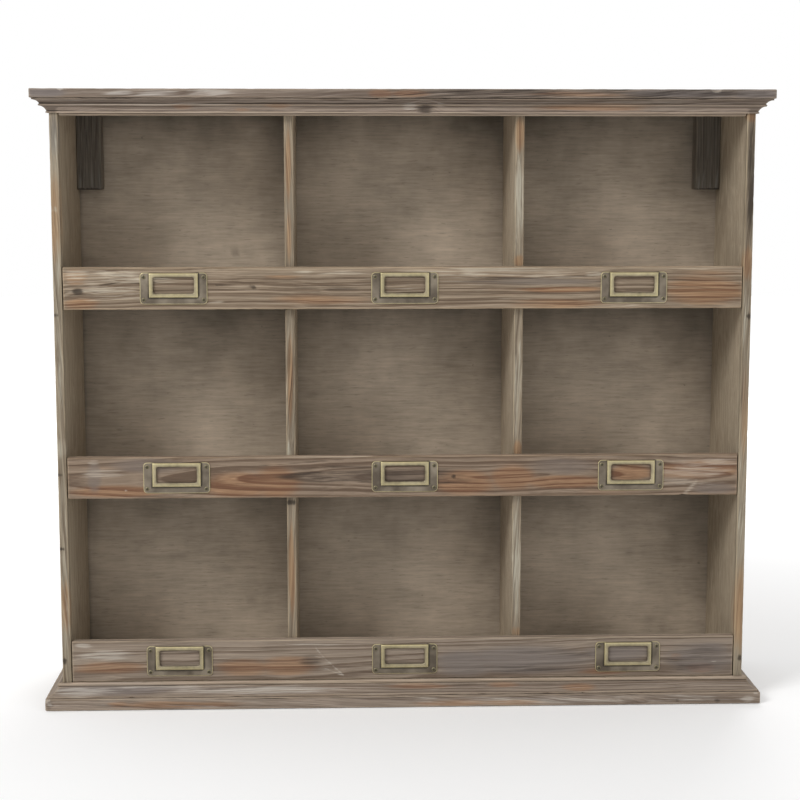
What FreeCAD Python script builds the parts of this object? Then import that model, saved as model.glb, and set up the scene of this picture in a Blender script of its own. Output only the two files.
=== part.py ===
import FreeCAD, Part
import math
import os
from FreeCAD import Placement, Rotation, Vector

# Open-front wall cabinet: three rows of three pigeon-holes between a crown and a base.
# Each row has a standing front rail with three brass card holders.
# Millimetres, +Z up, the open front towards -Y, the origin in the middle of the underside.

row_names = ("lower", "middle", "upper")
column_names = ("left", "centre", "right")

# Carcass
carcass_width = 690.0
carcass_depth = 145.0
side_thickness = 9.0
shelf_thickness = 9.0
divider_thickness = 9.5
opening_height = 146.5
lower_opening_height = 145.5
edge_round = 1.0

# Front rails, and the head rail that shows as a strip under the crown
rail_height = 42.0
rail_thickness = 9.0
rail_end_gap = 0.6
head_reveal = 2.5

# Crown and base: flat boards that stand out past the carcass, and the mouldings beside them
overhang = 16.0
moulding_setback = 2.0
moulding_quirk = 0.8
crown_board_thickness = 9.0
crown_moulding_height = 14.0
crown_cove_hollow = 0.9
crown_foot_projection = 2.4
crown_foot_height = 1.6
crown_bead_level = 6.6
crown_bead_height = 2.2
crown_bead_projection = 8.6
crown_lip_height = 1.6
base_board_thickness = 12.0
base_moulding_height = 13.0
base_cove_hollow = 1.7
base_foot_height = 2.0
base_bead_height = 3.5
base_bead_projection = 5.0

# Back panel in a rebate of the sides, ahead of the wall plane
back_panel_thickness = 5.0
back_recess = 4.0
back_rebate = 5.0
back_panel_clearance = 0.3

# Card holder: a plate with a raised frame, a window, and a slot for the card that is open above
plate_width = 66.0
plate_height = 31.0
plate_thickness = 0.8
plate_corner_radius = 4.0
frame_top_margin = 0.4
frame_width = 48.0
frame_height = 24.0
frame_rise = 2.8
frame_border = 4.1
frame_bevel = 1.3
card_slot_depth = 1.1
card_slot_wall = 1.7
plate_screw_inset_x = 3.6
plate_screw_inset_z = 4.4

# Card holder screws
label_screw_head_radius = 2.0
label_screw_head_height = 1.2
label_screw_radius = 0.9
label_screw_length = 7.5

# Hanging blocks, keyhole hanger plates and their screws
hanging_block_width = 26.0
hanging_block_thickness = 20.0
hanging_block_height = 80.0
hanger_width = 20.0
hanger_height = 60.0
hanger_thickness = 1.5
hanger_corner_radius = 3.0
keyhole_radius = 4.5
keyhole_slot_radius = 2.3
keyhole_rise = 11.0
keyhole_pocket_margin = 2.5
keyhole_pocket_depth = 9.0
hanger_screw_inset = 6.0
hanger_screw_head_radius = 3.0
hanger_screw_head_height = 1.6
hanger_screw_radius = 1.5
hanger_screw_length = 16.0

# Cross recess of a screw, as shares of its head's radius
recess_reach_share = 0.6
recess_wing_share = 0.14

# Nails, brads and pins, punched a little below the surface
nail_set = 0.5
nail_head_height = 0.8
side_nail_radius = 0.9
side_nail_length = 30.0
board_nail_length = 32.0
brad_radius = 0.7
brad_length = 22.0
brad_inset = 10.5
pin_radius = 0.7
pin_length = 15.0
nail_head_margin = 0.6
nail_inset = 18.0
nails_per_board = 3
pins_per_side = 6
fastener_clearance = 0.05

# Widths and depths that follow
half_width = carcass_width / 2
inner_half_width = half_width - side_thickness
column_count = len(column_names)
divider_count = column_count - 1
column_width = (2 * inner_half_width - divider_count * divider_thickness) / column_count
column_pitch = column_width + divider_thickness
overall_depth = overhang + carcass_depth
carcass_front = overhang - overall_depth / 2
wall_plane = overall_depth / 2
rail_back = carcass_front + rail_thickness
panel_rear = wall_plane - back_recess
panel_front = panel_rear - back_panel_thickness
moulding_projection = overhang - moulding_setback

# Levels that follow
floor_level = base_board_thickness + base_moulding_height
row_levels = [floor_level]
for row_opening in [lower_opening_height] + [opening_height] * (len(row_names) - 1):
    row_levels.append(row_levels[-1] + rail_height + row_opening)
rail_bottoms = row_levels[:-1]
head_bottom = row_levels[-1]
crown_moulding_bottom = head_bottom + head_reveal
crown_board_bottom = crown_moulding_bottom + crown_moulding_height
overall_height = crown_board_bottom + crown_board_thickness
top_panel_bottom = crown_board_bottom - shelf_thickness

into_left = Vector(-1, 0, 0)
into_right = Vector(1, 0, 0)
towards_wall = Vector(0, 1, 0)
towards_front = Vector(0, -1, 0)
upwards = Vector(0, 0, 1)
downwards = Vector(0, 0, -1)
flush_tolerance = 0.001


def brick(x_range, y_range, z_range):
    """A rectangular solid between two corners."""
    low = Vector(x_range[0], y_range[0], z_range[0])
    size = Vector(x_range[1], y_range[1], z_range[1]) - low
    return Part.makeBox(size.x, size.y, size.z, low)


def mirrored(shape):
    """The same piece on the other side of the middle plane."""
    return shape.mirror(Vector(0, 0, 0), into_right)


def front_edges(shape, direction):
    """Straight edges along a direction on the front plane of the carcass."""
    found = []
    for edge in shape.Edges:
        along = abs(edge.tangentAt(edge.FirstParameter).dot(direction)) > 1 - flush_tolerance
        if along and abs(edge.CenterOfMass.y - carcass_front) < flush_tolerance:
            found.append(edge)
    return found


def column_centre(column):
    """Middle of a column of pigeon-holes, from left to right."""
    return (column - (column_count - 1) / 2) * column_pitch


def divider_centre(divider):
    """Middle of a divider, from left to right."""
    return (divider - (divider_count - 1) / 2) * column_pitch


def side_panel():
    """Right side, standing on the base board, with a rebate for the back panel."""
    panel = brick((inner_half_width, half_width), (carcass_front, wall_plane),
                  (base_board_thickness, crown_board_bottom))
    panel = panel.makeFillet(edge_round, front_edges(panel, upwards))
    rebate = brick((inner_half_width, inner_half_width + back_rebate), (panel_front, wall_plane),
                   (base_board_thickness, crown_board_bottom))
    return panel.cut(rebate)


def flat_board(bottom, thickness):
    """Crown or base board, with the edges that show rounded over."""
    reach = half_width + overhang
    board = brick((-reach, reach), (-wall_plane, wall_plane), (bottom, bottom + thickness))
    shown = [edge for edge in board.Edges if edge.CenterOfMass.y < wall_plane - flush_tolerance]
    return board.makeFillet(edge_round, shown)


def cross_board(z_range, front):
    """A board between the sides, from a front plane to the back panel."""
    return brick((-inner_half_width, inner_half_width), (front, panel_front), z_range)


def front_rail(bottom, top):
    """A rail between the sides, flush with their front edges, its long edges rounded."""
    reach = inner_half_width - rail_end_gap
    rail = brick((-reach, reach), (carcass_front, rail_back), (bottom, top))
    return rail.makeFillet(edge_round, front_edges(rail, into_right))


def divider(centre, bottom, top):
    """An upright between two boards, behind the front rails."""
    half = divider_thickness / 2
    return brick((centre - half, centre + half), (rail_back, panel_front), (bottom, top))


def back_panel():
    """Thin panel that lies in the rebates of the sides."""
    reach = inner_half_width + back_rebate - back_panel_clearance
    return brick((-reach, reach), (panel_front, panel_rear), (base_board_thickness, crown_board_bottom))


def profile_face(start, steps):
    """A moulding's section: a step is the end of a line, or the middle and the end of an arc."""
    edges = []
    here = Vector(start[0], 0, start[1])
    for step in steps:
        points = [Vector(out, 0, up) for out, up in step]
        if len(points) == 2:
            edges.append(Part.Arc(here, points[0], points[1]).toShape())
        else:
            edges.append(Part.LineSegment(here, points[0]).toShape())
        here = points[-1]
    return Part.Face(Part.Wire(edges))


def hollow_middle(start, end, hollow):
    """Middle of a hollow arc, to the left of the line from its start to its end."""
    chord = Vector(end[0] - start[0], 0, end[1] - start[1])
    middle = Vector(start[0], 0, start[1]) + chord / 2
    middle = middle + Vector(-chord.z, 0, chord.x) * (hollow / chord.Length)
    return (middle.x, middle.z)


def crown_profile():
    """Foot fillet, lower cove, bead, upper cove and a lip under the crown board."""
    bead_middle = crown_bead_level + crown_bead_height / 2
    bead_flank = crown_bead_projection - crown_bead_height / 2
    lip_bottom = crown_moulding_height - crown_lip_height
    lower_start = (crown_foot_projection - moulding_quirk, crown_foot_height)
    lower_end = (bead_flank - moulding_quirk, crown_bead_level)
    upper_start = (bead_flank, crown_bead_level + crown_bead_height)
    upper_end = (moulding_projection - moulding_quirk, lip_bottom)
    return profile_face((0, 0), [
        [(crown_foot_projection, 0)],
        [(crown_foot_projection, crown_foot_height)],
        [lower_start],
        [hollow_middle(lower_start, lower_end, crown_cove_hollow), lower_end],
        [(bead_flank, crown_bead_level)],
        [(crown_bead_projection, bead_middle), upper_start],
        [hollow_middle(upper_start, upper_end, crown_cove_hollow), upper_end],
        [(moulding_projection, lip_bottom)],
        [(moulding_projection, crown_moulding_height)],
        [(0, crown_moulding_height)],
        [(0, 0)],
    ])


def base_profile():
    """Foot fillet, cove and a bead along the top."""
    bead_bottom = base_moulding_height - base_bead_height
    bead_middle = bead_bottom + base_bead_height / 2
    bead_flank = base_bead_projection - base_bead_height / 2
    cove_start = (moulding_projection, base_foot_height)
    cove_end = (base_bead_projection - moulding_quirk, bead_bottom)
    return profile_face((0, 0), [
        [(moulding_projection, 0)],
        [cove_start],
        [hollow_middle(cove_start, cove_end, base_cove_hollow), cove_end],
        [(bead_flank, bead_bottom)],
        [(base_bead_projection, bead_middle), (bead_flank, base_moulding_height)],
        [(0, base_moulding_height)],
        [(0, 0)],
    ])


def mitre_wedge(bottom, height, third_corner):
    """What a mitre cut takes off at the front right corner."""
    corner = Vector(half_width, carcass_front, bottom)
    tip = corner + Vector(moulding_projection, -moulding_projection, 0)
    third = Vector(third_corner[0], third_corner[1], bottom)
    return Part.Face(Part.makePolygon([corner, tip, third, corner])).extrude(upwards * height)


def mitred_moulding(face, bottom, height):
    """Front strip and right return of a moulding that is fixed round the carcass."""
    reach = half_width + moulding_projection
    tip_y = carcass_front - moulding_projection
    side_wedge = mitre_wedge(bottom, height, (half_width, tip_y))
    side = face.translated(Vector(half_width, tip_y, bottom))
    side = side.extrude(towards_wall * (wall_plane - tip_y)).cut(side_wedge)
    front_wedge = mitre_wedge(bottom, height, (reach, carcass_front))
    front = face.rotated(Vector(0, 0, 0), upwards, -90)
    front = front.translated(Vector(-reach, carcass_front, bottom)).extrude(into_right * 2 * reach)
    front = front.cut(front_wedge).cut(mirrored(front_wedge))
    return front, side


def screw(head_radius, head_height, shank_radius, length):
    """Round-head screw along Z with a cross recess, its head resting on the origin's plane."""
    rim = head_height / 3
    dome = head_height - rim
    dome_radius = (head_radius ** 2 + dome ** 2) / (2 * dome)
    shoulder = math.sqrt(dome_radius ** 2 - (head_radius / 2) ** 2) - dome_radius + head_height
    head_face = profile_face((0, 0), [
        [(head_radius, 0)],
        [(head_radius, rim)],
        [(head_radius / 2, shoulder), (0, head_height)],
        [(0, 0)],
    ])
    head = head_face.revolve(Vector(0, 0, 0), upwards, 360)
    solid = head.fuse(Part.makeCylinder(shank_radius, length, Vector(0, 0, 0), downwards)).removeSplitter()
    recess_reach = head_radius * recess_reach_share
    recess_wing = head_radius * recess_wing_share
    recess_range = (head_height / 2, 2 * head_height)
    for half_x, half_y in ((recess_reach, recess_wing), (recess_wing, recess_reach)):
        solid = solid.cut(brick((-half_x, half_x), (-half_y, half_y), recess_range))
    return solid


def placed(shape, position, facing):
    """A copy that is turned from +Z to face a direction, at a position."""
    copy = shape.copy()
    copy.Placement = Placement(position, Rotation(upwards, facing))
    return copy


def nail(surface_point, direction, radius, length):
    """A nail with a small flat head, punched below the surface."""
    top = surface_point + direction * nail_set
    head = Part.makeCylinder(radius + nail_head_margin, nail_head_height, top, direction)
    return head.fuse(Part.makeCylinder(radius, length, top, direction)).removeSplitter()


def nail_hole(surface_point, direction, radius, length):
    """What the nail leaves open in the wood: its own room, and the punch mark above its head."""
    head_room = radius + nail_head_margin + fastener_clearance
    mouth = Part.makeCylinder(head_room, nail_set + nail_head_height, surface_point, direction)
    shank = Part.makeCylinder(radius + fastener_clearance, nail_set + length, surface_point, direction)
    return mouth.fuse(shank)


def drive_nails(parts, group, places, boards):
    """Nails in one group, and their holes in the boards that they pass through."""
    holes = Part.makeCompound([nail_hole(*place) for place in places])
    for board in boards:
        parts[board] = parts[board].cut(holes)
    parts[group] = Part.makeCompound([nail(*place) for place in places])


def plate_screw_places(centre_x, centre_z):
    """The four screw places of a card holder, on the face of its rail."""
    reach_x = plate_width / 2 - plate_screw_inset_x
    reach_z = plate_height / 2 - plate_screw_inset_z
    return [Vector(centre_x + sign_x * reach_x, carcass_front, centre_z + sign_z * reach_z)
            for sign_x in (-1, 1) for sign_z in (-1, 1)]


def card_holder(centre_x, centre_z):
    """Stamped plate with a raised frame at its top, and a card slot between the frame and the rail."""
    plate_x = (centre_x - plate_width / 2, centre_x + plate_width / 2)
    plate_z = (centre_z - plate_height / 2, centre_z + plate_height / 2)
    plate = brick(plate_x, (carcass_front - plate_thickness, carcass_front), plate_z)
    corners = [edge for edge in plate.Edges
               if abs(edge.tangentAt(edge.FirstParameter).y) > 1 - flush_tolerance]
    plate = plate.makeFillet(plate_corner_radius, corners)
    frame_x = (centre_x - frame_width / 2, centre_x + frame_width / 2)
    frame_top = plate_z[1] - frame_top_margin
    frame_z = (frame_top - frame_height, frame_top)
    frame_front = carcass_front - frame_rise
    window_x = (frame_x[0] + frame_border, frame_x[1] - frame_border)
    window_z = (frame_z[0] + frame_border, frame_z[1] - frame_border)
    window = brick(window_x, (frame_front, carcass_front), window_z)
    frame = brick(frame_x, (frame_front, carcass_front), frame_z).cut(window)
    crest = [edge for edge in frame.Edges if abs(edge.CenterOfMass.y - frame_front) < flush_tolerance]
    frame = frame.makeChamfer(frame_bevel, crest)
    card_x = (frame_x[0] + card_slot_wall, frame_x[1] - card_slot_wall)
    card_slot = brick(card_x, (carcass_front - card_slot_depth, carcass_front),
                      (frame_z[0] + card_slot_wall, plate_z[1]))
    hole_radius = label_screw_radius + fastener_clearance
    holes = [Part.makeCylinder(hole_radius, plate_thickness, place, towards_front)
             for place in plate_screw_places(centre_x, centre_z)]
    return plate.fuse(frame).removeSplitter().cut(Part.makeCompound([window, card_slot] + holes))


def fix_card_holder(parts, row, column):
    """One card holder in the middle of a column, its four screws and their holes in the rail."""
    centre_x = column_centre(column)
    centre_z = rail_bottoms[row] + rail_height / 2
    place_name = row_names[row] + "_" + column_names[column]
    rail_name = "front_rail_" + row_names[row]
    parts["card_holder_" + place_name] = card_holder(centre_x, centre_z)
    pattern = screw(label_screw_head_radius, label_screw_head_height,
                    label_screw_radius, label_screw_length)
    on_plate = towards_front * plate_thickness
    screws = []
    for place in plate_screw_places(centre_x, centre_z):
        screws.append(placed(pattern, place + on_plate, towards_front))
        hole = Part.makeCylinder(label_screw_radius + fastener_clearance, label_screw_length,
                                 place + on_plate, towards_wall)
        parts[rail_name] = parts[rail_name].cut(hole)
    parts["card_holder_screws_" + place_name] = Part.makeCompound(screws)


def keyhole_slot(centre_x, low_z, high_z, radius, y_range):
    """A round-ended upright slot that runs through a range of depth."""
    depth = y_range[1] - y_range[0]
    low_end = Part.makeCylinder(radius, depth, Vector(centre_x, y_range[0], low_z), towards_wall)
    high_end = Part.makeCylinder(radius, depth, Vector(centre_x, y_range[0], high_z), towards_wall)
    middle = brick((centre_x - radius, centre_x + radius), y_range, (low_z, high_z))
    return low_end.fuse(high_end).fuse(middle).removeSplitter()


def fix_hanger(parts):
    """Right hanging block, the keyhole plate behind it, two screws, and the pocket for a screw head."""
    block_x = (inner_half_width - hanging_block_width, inner_half_width)
    block_z = (top_panel_bottom - hanging_block_height, top_panel_bottom)
    block_front = panel_front - hanging_block_thickness
    hanging_block = brick(block_x, (block_front, panel_front), block_z)
    centre_x = sum(block_x) / 2
    centre_z = sum(block_z) / 2
    plate_rear = panel_rear + hanger_thickness
    hanger = brick((centre_x - hanger_width / 2, centre_x + hanger_width / 2), (panel_rear, plate_rear),
                   (centre_z - hanger_height / 2, centre_z + hanger_height / 2))
    corners = [edge for edge in hanger.Edges
               if abs(edge.tangentAt(edge.FirstParameter).y) > 1 - flush_tolerance]
    hanger = hanger.makeFillet(hanger_corner_radius, corners)
    entry_z = centre_z - keyhole_rise / 2
    rest_z = centre_z + keyhole_rise / 2
    entry_point = Vector(centre_x, panel_rear, entry_z)
    hanger = hanger.cut(Part.makeCylinder(keyhole_radius, hanger_thickness, entry_point, towards_wall))
    hanger = hanger.cut(keyhole_slot(centre_x, entry_z, rest_z, keyhole_slot_radius,
                                     (panel_rear, plate_rear)))
    pocket = keyhole_slot(centre_x, entry_z, rest_z, keyhole_radius + keyhole_pocket_margin,
                          (panel_front - keyhole_pocket_depth, panel_rear))
    pattern = screw(hanger_screw_head_radius, hanger_screw_head_height,
                    hanger_screw_radius, hanger_screw_length)
    screws = []
    room = [pocket]
    for sign in (-1, 1):
        screw_z = centre_z + sign * (hanger_height / 2 - hanger_screw_inset)
        seat = Vector(centre_x, plate_rear, screw_z)
        screws.append(placed(pattern, seat, towards_wall))
        room.append(Part.makeCylinder(hanger_screw_radius + fastener_clearance, hanger_screw_length,
                                      seat, towards_front))
    right_room = Part.makeCompound(room)
    parts["hanging_block_right"] = hanging_block.cut(right_room)
    parts["hanger_plate_right"] = hanger.cut(Part.makeCompound(room[1:]))
    parts["hanger_screws_right"] = Part.makeCompound(screws)
    parts["back_panel"] = parts["back_panel"].cut(right_room).cut(mirrored(right_room))
    for name in ("hanging_block", "hanger_plate", "hanger_screws"):
        parts[name + "_left"] = mirrored(parts[name + "_right"])


def spread(low, high, count):
    """Evenly spaced places between two ends, the ends included."""
    return [low + (high - low) * index / (count - 1) for index in range(count)]


def board_levels():
    """Middles of the bottom panel, the top panel and the shelves."""
    shelves = [bottom + shelf_thickness / 2 for bottom in rail_bottoms[1:]]
    return [(base_board_thickness + floor_level) / 2, (top_panel_bottom + crown_board_bottom) / 2] + shelves


def side_nail_depths():
    """How far back the nails of one board stand."""
    return spread(rail_back + nail_inset, panel_front - nail_inset, nails_per_board)


def side_nail_places(side):
    """Nails through one side into the ends of the boards and the rails."""
    outer = side * half_width
    inwards = into_left * side
    rail_depth = carcass_front + rail_thickness / 2
    points = [Vector(outer, depth, level) for level in board_levels() for depth in side_nail_depths()]
    rail_levels = [bottom + rail_height / 2 for bottom in rail_bottoms]
    rail_levels.append((head_bottom + crown_board_bottom) / 2)
    points += [Vector(outer, rail_depth, level) for level in rail_levels]
    return [(point, inwards, side_nail_radius, side_nail_length) for point in points]


def rail_brad_places():
    """Brads through the rails: one into each divider, and two into each shelf between the columns."""
    points = []
    for row, bottom in enumerate(rail_bottoms):
        for index in range(divider_count):
            points.append(Vector(divider_centre(index), carcass_front, bottom + rail_height - brad_inset))
            if row > 0:
                points.append(Vector(divider_centre(index), carcass_front, bottom + shelf_thickness / 2))
    return [(point, towards_wall, brad_radius, brad_length) for point in points]


def board_nail_places(surface, direction):
    """Nails through the crown or base board into the ends of the sides, between the side nails."""
    nail_depths = side_nail_depths()
    depths = [(near + far) / 2 for near, far in zip(nail_depths, nail_depths[1:])]
    side_middle = half_width - side_thickness / 2
    return [(Vector(sign * side_middle, depth, surface), direction, side_nail_radius, board_nail_length)
            for sign in (-1, 1) for depth in depths]


def back_pin_places():
    """Pins through the back panel into the sides, the shelves and the bottom and top panels."""
    middle_of_rebate = inner_half_width + (back_rebate - back_panel_clearance) / 2
    levels = spread(base_board_thickness + nail_inset, crown_board_bottom - nail_inset, pins_per_side)
    points = [Vector(sign * middle_of_rebate, panel_rear, level) for sign in (-1, 1) for level in levels]
    points += [Vector(column_centre(column), panel_rear, level)
               for level in board_levels() for column in range(column_count)]
    return [(point, towards_front, pin_radius, pin_length) for point in points]


def make_boards(parts):
    """Every board of the carcass, the crown and the base, before any hole is made."""
    parts["side_panel_right"] = side_panel()
    parts["side_panel_left"] = mirrored(parts["side_panel_right"])
    parts["back_panel"] = back_panel()
    parts["bottom_panel"] = cross_board((base_board_thickness, floor_level), carcass_front)
    parts["top_panel"] = cross_board((top_panel_bottom, crown_board_bottom), rail_back)
    parts["head_rail"] = front_rail(head_bottom, crown_board_bottom)
    floors = [floor_level]
    ceilings = []
    for row, bottom in enumerate(rail_bottoms):
        parts["front_rail_" + row_names[row]] = front_rail(bottom, bottom + rail_height)
        if row > 0:
            shelf_top = bottom + shelf_thickness
            parts["shelf_" + row_names[row]] = cross_board((bottom, shelf_top), rail_back)
            floors.append(shelf_top)
            ceilings.append(bottom)
    ceilings.append(top_panel_bottom)
    for row_name, floor, ceiling in zip(row_names, floors, ceilings):
        for index, side_name in enumerate(("left", "right")):
            parts["divider_" + row_name + "_" + side_name] = divider(divider_centre(index), floor, ceiling)
    parts["crown_board"] = flat_board(crown_board_bottom, crown_board_thickness)
    parts["base_board"] = flat_board(0, base_board_thickness)
    for name, face, bottom, height in (
            ("crown_moulding", crown_profile(), crown_moulding_bottom, crown_moulding_height),
            ("base_moulding", base_profile(), base_board_thickness, base_moulding_height)):
        front, right = mitred_moulding(face, bottom, height)
        parts[name + "_front"] = front
        parts[name + "_right"] = right
        parts[name + "_left"] = mirrored(right)


def fasten(parts):
    """Nails, brads and pins that hold the boards together."""
    cross_boards = ["bottom_panel", "top_panel", "head_rail"]
    cross_boards += [name for name in parts if name.startswith(("shelf_", "front_rail_"))]
    sides = ["side_panel_left", "side_panel_right"]
    drive_nails(parts, "side_nails_left", side_nail_places(-1), cross_boards + sides)
    drive_nails(parts, "side_nails_right", side_nail_places(1), cross_boards + sides)
    uprights = [name for name in parts if name.startswith("divider_")]
    drive_nails(parts, "rail_brads", rail_brad_places(), cross_boards + uprights)
    drive_nails(parts, "crown_board_nails", board_nail_places(overall_height, downwards),
                sides + ["crown_board"])
    drive_nails(parts, "base_board_nails", board_nail_places(0, upwards), sides + ["base_board"])
    drive_nails(parts, "back_panel_pins", back_pin_places(), cross_boards + sides + ["back_panel"])


def make_cabinet():
    """All the pieces of the cabinet by name."""
    parts = {}
    make_boards(parts)
    fasten(parts)
    fix_hanger(parts)
    for row in range(len(row_names)):
        for column in range(column_count):
            fix_card_holder(parts, row, column)
    return parts


os.makedirs("parts", exist_ok=True)
for node, shape in make_cabinet().items():
    shape.exportStep("parts/" + node + ".step")
    print(node, len(shape.Solids), "solids", round(shape.Volume), "mm3", shape.isValid())
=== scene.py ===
import math
import random

import bmesh
import bpy
from bpy.props import FloatProperty, FloatVectorProperty, PointerProperty
from mathutils import Matrix, Vector, noise


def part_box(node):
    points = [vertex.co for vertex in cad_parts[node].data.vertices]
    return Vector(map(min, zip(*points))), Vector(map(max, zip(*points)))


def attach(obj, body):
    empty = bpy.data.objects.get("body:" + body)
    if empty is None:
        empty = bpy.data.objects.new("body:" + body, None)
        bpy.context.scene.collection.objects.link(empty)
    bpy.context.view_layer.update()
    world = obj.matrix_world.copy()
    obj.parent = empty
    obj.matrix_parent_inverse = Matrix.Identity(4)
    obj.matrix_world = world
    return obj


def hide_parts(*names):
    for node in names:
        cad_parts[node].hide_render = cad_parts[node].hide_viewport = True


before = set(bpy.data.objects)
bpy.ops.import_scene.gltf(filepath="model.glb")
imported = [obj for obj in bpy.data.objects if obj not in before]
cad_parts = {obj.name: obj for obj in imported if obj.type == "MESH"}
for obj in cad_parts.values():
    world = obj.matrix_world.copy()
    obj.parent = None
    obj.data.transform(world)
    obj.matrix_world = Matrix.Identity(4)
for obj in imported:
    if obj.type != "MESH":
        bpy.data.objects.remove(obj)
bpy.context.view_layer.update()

bl_info = {
    "name": "Open-front wall cabinet",
    "version": (1, 0, 0),
    "blender": (4, 5, 0),
    "location": "View3D > Sidebar > Cabinet",
    "description": "Weathered pine pigeon-hole cabinet with brass card holders",
    "category": "Object",
}

MM = 0.001
ROWS = ("lower", "middle", "upper")
COLUMNS = ("left", "centre", "right")
FIELDS = ("warm", "cool", "pale", "dark", "bend", "wear", "sheltered")

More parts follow.
